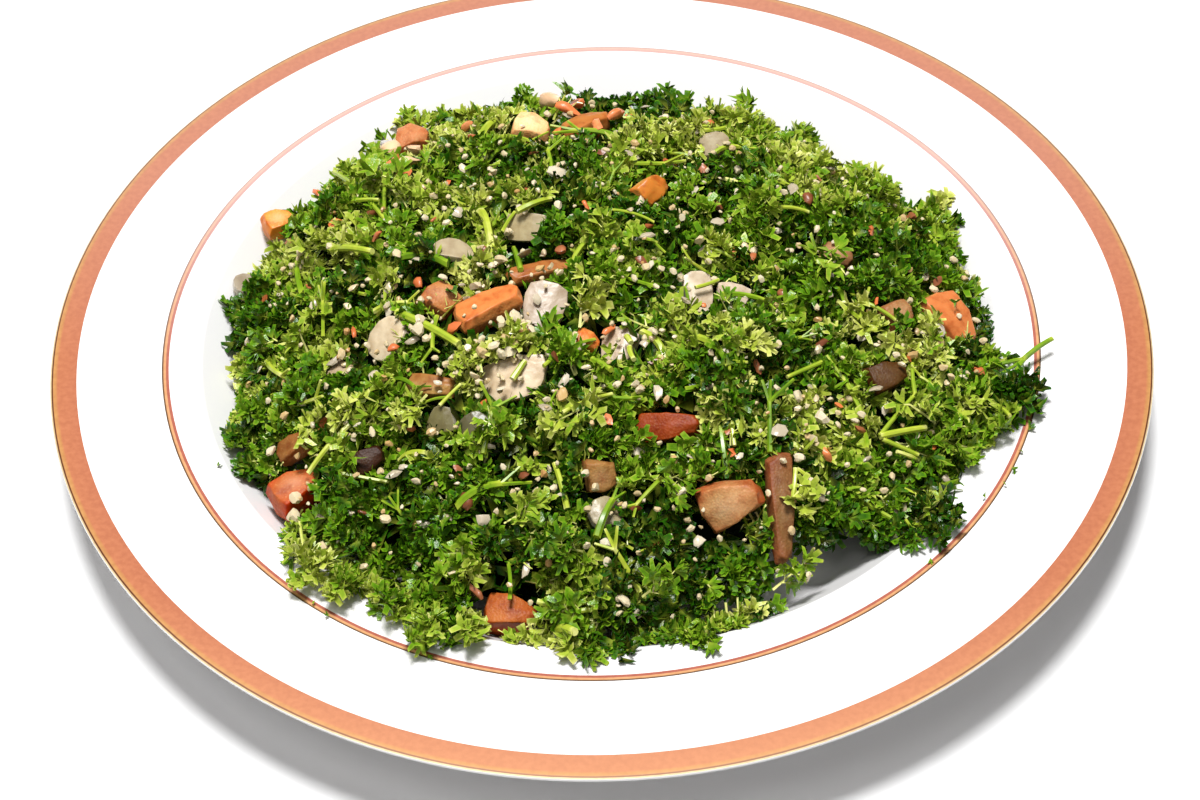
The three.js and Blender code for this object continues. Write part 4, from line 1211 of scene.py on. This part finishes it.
def make_curls():
    """Curly sprigs over the heap, bright ones where they show most, and their ribs."""
    settings = bpy.context.scene.salad_parsley
    rng = np.random.default_rng(CURL_SEED)
    scale = 1.0
    shapes = {
        "lobes": lobe_shapes(rng, 3),
        "twig": rod(3, 0, 0.0, 0.5),
        "midribs": {bow: rod(3, 1, bow, 0.6) for bow in BOWS},
    }
    green = leaf_material()
    ribs = Field()
    clump_x, clump_y = spread_over_heap(rng, int(settings.clumps * scale), 0.97, 2.5)
    for k, label in enumerate("abcd"):
        leaves = Field()
        x, y = clump_x[k::4], clump_y[k::4]
        rise = rng.uniform(-4.8, 0.8, len(x))
        for hollow_x, hollow_y, radius, depth in HOLLOWS:
            rise -= depth * np.exp(-((x - hollow_x) ** 2 + (y - hollow_y) ** 2) / radius**2)
        # Sprigs that lie lower are painted darker, as painted shade.
        tone_with_painted_shade = parsley_tone(rng, x, y) + 0.045 * (rise + 1.6)
        each = settings.clump_sprigs
        x, y, rise, tone_with_painted_shade = (np.repeat(row, each) for row in (x, y, rise, tone_with_painted_shade))
        count = len(x)
        heading, out = rng.uniform(0, 2 * math.pi, count), rng.uniform(0, 1, count)
        x, y = x + 3.2 * out * np.cos(heading), y + 3.2 * out * np.sin(heading)
        rise = rise - 0.9 * out + rng.normal(0, 0.4, count)
        rim_x, rim_y, outward = around_heap(rng, int(settings.rim_sprigs * scale / 4), 0.88, 0.98)
        x, y = np.concatenate([x, rim_x]), np.concatenate([y, rim_y])
        heading = np.concatenate([heading, outward])
        out = np.concatenate([out, np.full(len(rim_x), 0.7)])
        rise = np.concatenate([rise, rng.uniform(-3, 0, len(rim_x))])
        tone_with_painted_shade = np.concatenate([tone_with_painted_shade, parsley_tone(rng, rim_x, rim_y)])
        free = clear_of_toppings(x, y, -0.6)
        x, y, heading, out, rise, tone_with_painted_shade = (row[free] for row in (x, y, heading, out, rise, tone_with_painted_shade))
        count = len(x)
        lift = 0.75 - 0.85 * out + rng.normal(0, 0.22, count)
        heading, roll = heading + rng.normal(0, 0.5, count), rng.normal(0, 0.45, count)
        frames = surface_frames(x, y, heading, lift, roll)
        roots, length = on_heap(x, y, rise), rng.uniform(5, 9, count)
        tone = np.clip(tone_with_painted_shade + rng.normal(0, 0.06, count), 0.02, 0.9)
        for turn, bow in enumerate(BOWS):
            part = np.arange(count) % len(BOWS) == turn
            sprigs = (row[part] for row in (roots, frames, length, tone))
            grow_sprigs(rng, leaves, ribs, shapes, bow, *sprigs)
        if label in "bc":
            rows = np.array(RIM_SPRIGS)["bc".index(label) :: 2]
            grow_rim_sprigs(rng, leaves, ribs, shapes, rows)
        if label == "d":
            grow_bright_sprigs(rng, leaves, ribs, shapes)
        name = "parsley_curls_" + label
        add_piece(name, leaves.mesh(name, green), "parsley")
    add_piece("parsley_ribs", ribs.mesh("parsley_ribs", stalk_material()), "parsley")


def rods_between(field, starts, ends, widths, tones, rng):
    """Adds a bowed stalk from each start to each end, in millimetres."""
    for start, end, width, tone in zip(starts, ends, widths, tones):
        ahead = end - start
        length = float(np.linalg.norm(ahead))
        shape = rod(8, 6, rng.uniform(0.0, 0.09), 0.85, width / length)
        turn = turns_from(ahead[None], np.array([[0.0, 0.0, 1.0]]), rng.normal(0, 0.7, 1))
        field.add(shape, start[None], turn, [length], [tone], solid=False)


def make_stalks():
    """Cut parsley stalks: single ones, forked ones and the one that reaches over the rim."""
    settings = bpy.context.scene.salad_parsley
    rng = np.random.default_rng(STALK_SEED)
    field = Field()
    starts, ends, widths = zip(*FORKED_STALK)
    rods_between(field, np.array(starts), np.array(ends), widths, [0.3] * len(starts), rng)
    rows = np.array(STALKS)
    starts = on_heap(rows[:, 0], rows[:, 1], np.full(len(rows), 3.4))
    ends = on_heap(rows[:, 2], rows[:, 3], np.full(len(rows), 3.4))
    rods_between(field, starts, ends, rows[:, 4] * 0.85, rows[:, 5] - 0.1, rng)

    count = settings.stalks
    bends = ((0.0, 0.1), (0.08, 0.13), (0.14, 0.18), (-0.06, 0.12))
    shapes = [rod(6, 4, bow, 0.8, width) for bow, width in bends]
    x, y = spread_over_heap(rng, count, 1.0)
    heading = rng.uniform(0, 2 * math.pi, count)
    lift, roll = rng.normal(0.08, 0.15, count), rng.normal(0, 0.6, count)
    frames = surface_frames(x, y, heading, lift, roll)
    length = rng.uniform(6, 13, count)
    places = on_heap(x, y, rng.uniform(1.2, 3.4, count)) - frames[:, :, 0] * (length / 2)[:, None]
    tones = np.clip(rng.normal(0.4, 0.17, count), 0.1, 0.9)
    field.scatter(shapes, places, frames, length, tones)
    forked = rng.random(count) < 0.55
    trunks, reach, tones = frames[forked], length[forked], tones[forked]
    tips = places[forked] + trunks[:, :, 0] * (reach * 0.97)[:, None]
    arm = rod(5, 2, 0.0, 0.7)
    for side in (-1, 0, 1):
        n = len(tips)
        yaw, pitch = side * rng.uniform(0.35, 0.8, n), rng.normal(0, 0.25, n)
        arms = turned(trunks, yaw, pitch, rng.normal(0, 0.5, n))
        shown = rng.random(n) < (0.5 if side == 0 else 0.95)
        long, thick = (reach * rng.uniform(0.35, 0.65, n))[shown], (reach * 0.085)[shown]
        sizes = np.stack([long, thick, thick], axis=1)
        field.add(arm, tips[shown], arms[shown], sizes, tones[shown])
    add_piece("parsley_stalks", field.mesh("parsley_stalks", stalk_material()), "parsley")


def make_bulgur():
    """Grains of bulgur, scattered and in small clusters."""
    rng = np.random.default_rng(BULGUR_SEED)
    shapes = [grain(rng, breaks) for breaks in (3, 4, 5, 6, 4, 5, 6, 7)]
    field = Field()
    rows = np.array(GRAINS)
    loose = bpy.context.scene.salad_scatter.grains
    x, y = spread_over_heap(rng, loose, 0.99)
    drawn = rng.integers(0, len(rows), loose // 3)
    near_x = rows[drawn, 0] + rng.normal(0, 3.5, len(drawn))
    near_y = rows[drawn, 1] + rng.normal(0, 3.0, len(drawn))
    x, y = np.concatenate([rows[:, 0], x, near_x]), np.concatenate([rows[:, 1], y, near_y])
    size, near_size = rng.uniform(1.2, 2.9, loose), rng.uniform(1.2, 2.6, len(drawn))
    size = np.concatenate([rows[:, 2] * 1.15, size, near_size])
    height, near_height = rng.uniform(2.2, 4.8, loose), rng.uniform(2.2, 4.6, len(drawn))
    height = np.concatenate([np.full(len(rows), 4.6), height, near_height])
    inside = heap_share(x, y) < 1.0
    x, y, size, height = x[inside], y[inside], size[inside], height[inside]
    count = len(x)
    heading = rng.uniform(0, 2 * math.pi, count)
    lift, roll = rng.uniform(-0.4, 0.4, count), rng.uniform(-3, 3, count)
    frames = surface_frames(x, y, heading, lift, roll)
    field.scatter(shapes, on_heap(x, y, height), frames, size, rng.uniform(0.03, 1, count))
    mesh = field.mesh("bulgur_grains", grain_material(), GRAIN_CREASE)
    add_piece("bulgur_grains", mesh, "bulgur")


def scatter_scraps(rng, x, y, size, flatness, height, tones):
    """A field of small broken bits over the heap."""
    shapes = [grain(rng, breaks) for breaks in (5, 6, 7, 8)]
    count = len(x)
    heading, lift = rng.uniform(0, 2 * math.pi, count), rng.normal(0, 0.3, count)
    frames = surface_frames(x, y, heading, lift, rng.normal(0, 0.4, count))
    sizes = np.stack([size, size * rng.uniform(0.8, 1.1, count), size * flatness], axis=1)
    field = Field()
    field.scatter(shapes, on_heap(x, y, height), frames, sizes, tones)
    return field


def make_scraps():
    """Scraps of tomato and small slices of onion between the leaves."""
    settings = bpy.context.scene.salad_scatter
    rng = np.random.default_rng(SCRAP_SEED)
    # Crushed tomato: wet and uneven, from deep red skin to pale orange pulp.
    red, tree = new_material("tomato scraps")
    place = add_node(tree, "TexCoord").outputs["Object"]
    tone = add_node(tree, "Attribute", attribute_name="tone").outputs["Fac"]
    pulp = add_node(tree, "TexNoise", {"Vector": place, "Scale": 1 / (1.4 * MM), "Detail": 3.0})
    mottled = add_node(tree, "Math", {0: pulp, 1: 0.2, 2: tone}, operation="MULTIPLY_ADD")
    colour = add_node(
        tree,
        "ValToRGB",
        {"Fac": mottled},
        stops=(
            (0.2, "#6E3A20"),
            (0.45, "#A5633E"),
            (0.75, "#DC7038"),
            (0.9, "#E58E58"),
            (1.0, "#EFC49A"),
        ),
    )
    bump = add_node(tree, "Bump", {"Height": pulp, "Strength": 0.5, "Distance": 0.3 * MM})
    shader = add_node(
        tree, "BsdfPrincipled", {"Base Color": colour, "Roughness": 0.35, "Normal": bump}
    )
    add_node(tree, "OutputMaterial", {"Surface": shader})
    count = settings.tomato_scraps
    x, y = spread_over_heap(rng, count, 0.97)
    height, size = rng.uniform(2.6, 4.8, count), rng.uniform(2.2, 5.4, count)
    loose = np.array((x, y, height, size, rng.uniform(0.1, 0.8, count)))
    x, y, height, size, tones = np.concatenate([np.array(SCRAPS).T, loose], axis=1)
    field = scatter_scraps(rng, x, y, size, 0.8, height, tones)
    add_piece("tomato_scraps", field.mesh("tomato_scraps", red, PULP_CREASE), "tomato")

    # Thin bits of raw onion: wet, creamy and half see-through, darker where juice soaks them.
    pale, tree = new_material("onion scraps")
    tone = add_node(tree, "Attribute", attribute_name="tone").outputs["Fac"]
    colour = add_node(
        tree, "ValToRGB", {"Fac": tone}, stops=((0.0, "#A3957C"), (1.0, "#D9CCB2"))
    )
    shader = add_node(
        tree,
        "BsdfPrincipled",
        {
            "Base Color": colour,
            "Roughness": 0.25,
            "Subsurface Weight": 0.3,
            "Subsurface Radius": (1.0, 0.9, 0.75),
            "Subsurface Scale": 1.0 * MM,
        },
    )
    add_node(tree, "OutputMaterial", {"Surface": shader})
    count = settings.onion_scraps
    x, y = spread_over_heap(rng, count, 0.97)
    loose = np.array((x, y, rng.uniform(1.8, 4.8, count)))
    x, y, size = np.concatenate([np.array(SMALL_ONIONS).T, loose], axis=1)
    field = scatter_scraps(rng, x, y, size, 0.35, rng.uniform(2.6, 4.8, len(x)), rng.random(len(x)))
    add_piece("onion_scraps", field.mesh("onion_scraps", pale, GRAIN_CREASE), "onion")


def diced(node, bevel, roughness, seed):
    """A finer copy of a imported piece, in place: its edges softened and its faces made uneven."""
    bm = bmesh.new()
    bm.from_mesh(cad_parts[node].data)
    bmesh.ops.remove_doubles(bm, verts=bm.verts[:], dist=1e-6)
    joined = (e for e in bm.edges if len(e.link_faces) == 2)
    sharp = [e for e in joined if e.calc_face_angle() > DICE_CREASE]
    bmesh.ops.bevel(
        bm,
        geom=sharp,
        offset=bevel * MM,
        segments=2,
        profile=0.5,
        affect="EDGES",
        clamp_overlap=True,
        material=-1,
    )
    bmesh.ops.subdivide_edges(bm, edges=bm.edges[:], cuts=3, use_grid_fill=True)
    bmesh.ops.triangulate(bm, faces=bm.faces[:])
    bmesh.ops.smooth_vert(
        bm, verts=bm.verts[:], factor=0.2, use_axis_x=True, use_axis_y=True, use_axis_z=True
    )
    bm.normal_update()
    offset = Vector((seed * 7.3, seed * 3.1, seed * 5.7))
    moves = []
    for vertex in bm.verts:
        place = vertex.co / MM
        lump = noise.noise(place * 0.22 + offset) + 0.45 * noise.noise(place * 0.8 + offset)
        moves.append(vertex.normal * lump * roughness * MM)
    for vertex, move in zip(bm.verts, moves):
        vertex.co += move
    bm.normal_update()
    return bm


def joined_dice(name, material, pieces):
    """One mesh of several diced pieces, each a bmesh with the colour and skin of its vertices."""
    whole = bmesh.new()
    colours, skins = [], []
    for bm, colour, skin in pieces:
        copy = bpy.data.meshes.new("copy")
        bm.to_mesh(copy)
        bm.free()
        whole.from_mesh(copy)
        bpy.data.meshes.remove(copy)
        colours.extend(colour)
        skins.extend(skin)
    for face in whole.faces:
        face.smooth = True
    mesh = mesh_from_bmesh(name, whole, material)
    layer = mesh.attributes.new("colour", "FLOAT_COLOR", "POINT")
    layer.data.foreach_set("color", np.ravel(colours))
    mesh.attributes.new("skin", "FLOAT", "POINT").data.foreach_set("value", skins)
    return mesh


def outline_share(places):
    """How far out each place of a piece is, along its two longest directions: 1 at its outline."""
    out = places - (places.max(axis=0) + places.min(axis=0)) / 2
    along = np.abs(out @ np.linalg.svd(out, full_matrices=False)[2][:2].T)
    return np.hypot(*(along / along.max(axis=0)).T)


def make_tomato():
    """Diced tomato: smooth skin on one side, and cut flesh that is palest in the middle."""
    pieces = []
    for seed, (node, (flesh, skin_colour, facing)) in enumerate(TOMATO_COLOURS_AND_SHADE.items()):
        bm = diced(node, 0.35, 0.32, seed)
        # The colours of a piece that lies in shade carry painted shade.
        inner, outer = np.array(linear(flesh)), np.array(linear(skin_colour))
        facing = Vector(facing).normalized()
        depths = [v.co.dot(facing) for v in bm.verts]
        low, high = min(depths), max(depths)
        skins = [min(1.0, max(0.0, (v.normal.dot(facing) - 0.4) / 0.25)) for v in bm.verts]
        out = outline_share(np.array([tuple(v.co) for v in bm.verts]))
        flush = [
            max(skin, 0.6 * ((d - low) / (high - low)) ** 2, 0.9 * min(1, max(0, far - 0.6) / 0.45))
            for d, skin, far in zip(depths, skins, out)
        ]
        middle = inner + (np.array(linear("#FFE4C4")) - inner) * 0.45 * inner[0]
        cut = [middle + (inner - middle) * min(1, far / 0.65) for far in out]
        colours = [own + (outer - own) * share for own, share in zip(cut, flush)]
        pieces.append((bm, colours, skins))
    mesh = joined_dice("tomato_dice", tomato_material(), pieces)
    add_piece("tomato_dice", mesh, "tomato", *TOMATO_COLOURS_AND_SHADE)


def make_onion():
    """Diced onion: crisp slices of a curved layer, whiter along their cut edges."""
    pieces = []
    for seed, (node, colour) in enumerate(ONION_COLOURS_AND_SHADE.items()):
        # The colour of a slice that lies deep between the leaves carries painted shade.
        inner = np.array(linear(colour))
        outer = inner + (np.array(linear("#FFF8EC")) - inner) * 0.4
        bm = diced(node, 0.15, 0.12, seed + 40)
        places = np.array([tuple(v.co) for v in bm.verts])
        thin = Vector(np.linalg.svd(places - places.mean(axis=0), full_matrices=False)[2][2])
        edges = [(1 - abs(v.normal.dot(thin))) ** 1.5 for v in bm.verts]
        pieces.append((bm, [inner + (outer - inner) * share for share in edges], edges))
    mesh = joined_dice("onion_slices", onion_material(), pieces)
    add_piece("onion_slices", mesh, "onion", *ONION_COLOURS_AND_SHADE)


def make_stage():
    """Floor, soft light and the camera."""
    settings = bpy.context.scene.salad_stage
    scene = bpy.context.scene
    bm = bmesh.new()
    bmesh.ops.create_grid(bm, x_segments=1, y_segments=1, size=4.0)
    # Uncoated paper: an even, dull white that takes soft shadows.
    paper, tree = new_material("white paper")
    shader = add_node(
        tree, "BsdfPrincipled", {"Base Color": linear("#E7E7E7"), "Roughness": 0.9}
    )
    add_node(tree, "OutputMaterial", {"Surface": shader})
    floor = bpy.data.objects.new("floor", mesh_from_bmesh("floor", bm, paper))
    bpy.context.collection.objects.link(floor)

    world = bpy.data.worlds.new("studio")
    scene.world = world
    world.use_nodes = True
    background = world.node_tree.nodes["Background"]
    background.inputs["Color"].default_value = linear("#FFFFFF")
    background.inputs["Strength"].default_value = settings.fill
    # Name, place and size in metres, and power of each lamp.
    for name, place, size, power in (
        ("key_light", (-0.05, 0.1, 1.22), 0.35, settings.key),
        ("front_light", (-0.3, -0.45, 1.2), 0.5, settings.front),
    ):
        light = bpy.data.lights.new(name, "AREA")
        light.shape = "DISK"
        light.size = size
        light.energy = power
        lamp = bpy.data.objects.new(name, light)
        lamp.location = place
        ahead = Vector((0, 0, 0.02)) - lamp.location
        lamp.rotation_euler = ahead.to_track_quat("-Z", "Y").to_euler()
        bpy.context.collection.objects.link(lamp)

    elevation, roll = math.radians(CAMERA_ELEVATION), math.radians(CAMERA_ROLL)
    back = Vector((0, -math.cos(elevation), math.sin(elevation)))
    up = Vector((0, math.sin(elevation), math.cos(elevation)))
    right = Vector((1, 0, 0))
    turned_right = right * math.cos(roll) + up * math.sin(roll)
    turned_up = up * math.cos(roll) - right * math.sin(roll)
    camera = bpy.data.objects.new("camera", bpy.data.cameras.new("camera"))
    camera.data.lens = settings.lens
    camera.data.sensor_width = 36
    axes = Matrix((turned_right, turned_up, back)).transposed().to_4x4()
    place = Vector(CAMERA_TARGET) + back * CAMERA_DISTANCE
    camera.matrix_world = Matrix.Translation(place) @ axes
    bpy.context.collection.objects.link(camera)
    scene.camera = camera
    scene.view_settings.view_transform = "Standard"


# Settings, operators and panel


class SaladPlateSettings(bpy.types.PropertyGroup):
    white: FloatVectorProperty(
        name="Plate white",
        description="Colour of the moulded plate",
        subtype="COLOR",
        size=3,
        default=linear("#EFEDED")[:3],
    )
    ring_radius: FloatProperty(
        name="Ring radius",
        description="Middle of the thin foil ring",
        unit="LENGTH",
        default=0.1036,
    )
    band_radius: FloatProperty(
        name="Band radius",
        description="Inner edge of the foil band",
        unit="LENGTH",
        default=0.1239,
    )


class SaladParsleySettings(bpy.types.PropertyGroup):
    under_leaves: IntProperty(
        name="Under leaves", description="Leaflets laid on the core", default=2200
    )
    side_leaves: IntProperty(
        name="Side leaves", description="Leaflets down the heap's side", default=1500
    )
    clumps: IntProperty(name="Clumps", description="Clumps of sprigs over the heap", default=230)
    clump_sprigs: IntProperty(
        name="Clump sprigs", description="Curly sprigs in a clump", default=6
    )
    rim_sprigs: IntProperty(
        name="Rim sprigs", description="Curly sprigs around the heap's edge", default=230
    )
    stalks: IntProperty(name="Cut stalks", description="Cut stalks on the heap", default=110)


class SaladScatterSettings(bpy.types.PropertyGroup):
    grains: IntProperty(name="Grains", description="Loose grains of bulgur", default=560)
    tomato_scraps: IntProperty(
        name="Tomato scraps", description="Loose scraps of tomato", default=68
    )
    onion_scraps: IntProperty(
        name="Onion scraps", description="Loose thin bits of onion", default=96
    )


class SaladStageSettings(bpy.types.PropertyGroup):
    fill: FloatProperty(
        name="Fill light", description="Strength of the even light", default=0.22
    )
    key: FloatProperty(
        name="Key light", description="Power of the lamp above", unit="POWER", default=21.0
    )
    front: FloatProperty(
        name="Front light", description="Power of the lamp in front", unit="POWER", default=2.5
    )
    lens: FloatProperty(
        name="Lens", description="Focal length in millimetres", unit="CAMERA", default=66.0
    )


class SALAD_OT_plate(bpy.types.Operator):
    """Turns the dinner plate with its foil bands"""

    bl_idname = "salad.plate"
    bl_label = "Dinner plate"

    def execute(self, context):
        make_plate()
        return {"FINISHED"}


class SALAD_OT_core(bpy.types.Operator):
    """Lays the dark packed leaves under the heap's surface"""

    bl_idname = "salad.core"
    bl_label = "Packed parsley"

    def execute(self, context):
        make_core()
        return {"FINISHED"}


class SALAD_OT_under_leaves(bpy.types.Operator):
    """Lays dark toothed leaves on the core and down the heap's side"""

    bl_idname = "salad.under_leaves"
    bl_label = "Under leaves"

    def execute(self, context):
        make_under_leaves()
        return {"FINISHED"}


class SALAD_OT_curls(bpy.types.Operator):
    """Grows curly parsley over the heap"""

    bl_idname = "salad.curls"
    bl_label = "Curly parsley"

    def execute(self, context):
        make_curls()
        return {"FINISHED"}


class SALAD_OT_stalks(bpy.types.Operator):
    """Lays cut parsley stalks on the heap"""

    bl_idname = "salad.stalks"
    bl_label = "Parsley stalks"

    def execute(self, context):
        make_stalks()
        return {"FINISHED"}


class SALAD_OT_bulgur(bpy.types.Operator):
    """Scatters bulgur over the heap"""

    bl_idname = "salad.bulgur"
    bl_label = "Bulgur"

    def execute(self, context):
        make_bulgur()
        return {"FINISHED"}


class SALAD_OT_tomato(bpy.types.Operator):
    """Finishes the diced tomato"""

    bl_idname = "salad.tomato"
    bl_label = "Diced tomato"

    def execute(self, context):
        make_tomato()
        return {"FINISHED"}


class SALAD_OT_onion(bpy.types.Operator):
    """Finishes the diced onion"""

    bl_idname = "salad.onion"
    bl_label = "Diced onion"

    def execute(self, context):
        make_onion()
        return {"FINISHED"}


class SALAD_OT_scraps(bpy.types.Operator):
    """Scatters scraps of tomato and onion"""

    bl_idname = "salad.scraps"
    bl_label = "Tomato and onion scraps"

    def execute(self, context):
        make_scraps()
        return {"FINISHED"}


class SALAD_OT_stage(bpy.types.Operator):
    """Sets the floor, the light and the camera"""

    bl_idname = "salad.stage"
    bl_label = "Stage"

    def execute(self, context):
        make_stage()
        return {"FINISHED"}


OPERATORS = (
    SALAD_OT_plate,
    SALAD_OT_core,
    SALAD_OT_under_leaves,
    SALAD_OT_curls,
    SALAD_OT_stalks,
    SALAD_OT_bulgur,
    SALAD_OT_tomato,
    SALAD_OT_onion,
    SALAD_OT_scraps,
    SALAD_OT_stage,
)
SETTINGS = {
    "salad_plate": SaladPlateSettings,
    "salad_parsley": SaladParsleySettings,
    "salad_scatter": SaladScatterSettings,
    "salad_stage": SaladStageSettings,
}


class SALAD_PT_panel(bpy.types.Panel):
    """Lists the pieces of the salad"""

    bl_idname = "SALAD_PT_panel"
    bl_label = "Tabbouleh salad"
    bl_space_type = "VIEW_3D"
    bl_region_type = "UI"
    bl_category = "Salad"

    def draw(self, context):
        for operator in OPERATORS:
            self.layout.operator(operator.bl_idname)
        for name, group in SETTINGS.items():
            box = self.layout.box()
            for label in group.__annotations__:
                box.prop(getattr(context.scene, name), label)


def register():
    """Registers the settings, the operators and the panel."""
    for cls in (*SETTINGS.values(), *OPERATORS, SALAD_PT_panel):
        bpy.utils.register_class(cls)
    for name, group in SETTINGS.items():
        setattr(bpy.types.Scene, name, PointerProperty(type=group))


def unregister():
    """Takes them out again, in the reverse order."""
    for name in SETTINGS:
        delattr(bpy.types.Scene, name)
    for cls in (SALAD_PT_panel, *reversed(OPERATORS), *reversed(SETTINGS.values())):
        bpy.utils.unregister_class(cls)


def main():
    """Makes every piece in order."""
    register()
    for operator in OPERATORS:
        group, name = operator.bl_idname.split(".")
        getattr(getattr(bpy.ops, group), name)()


if __name__ == "__main__":
    main()
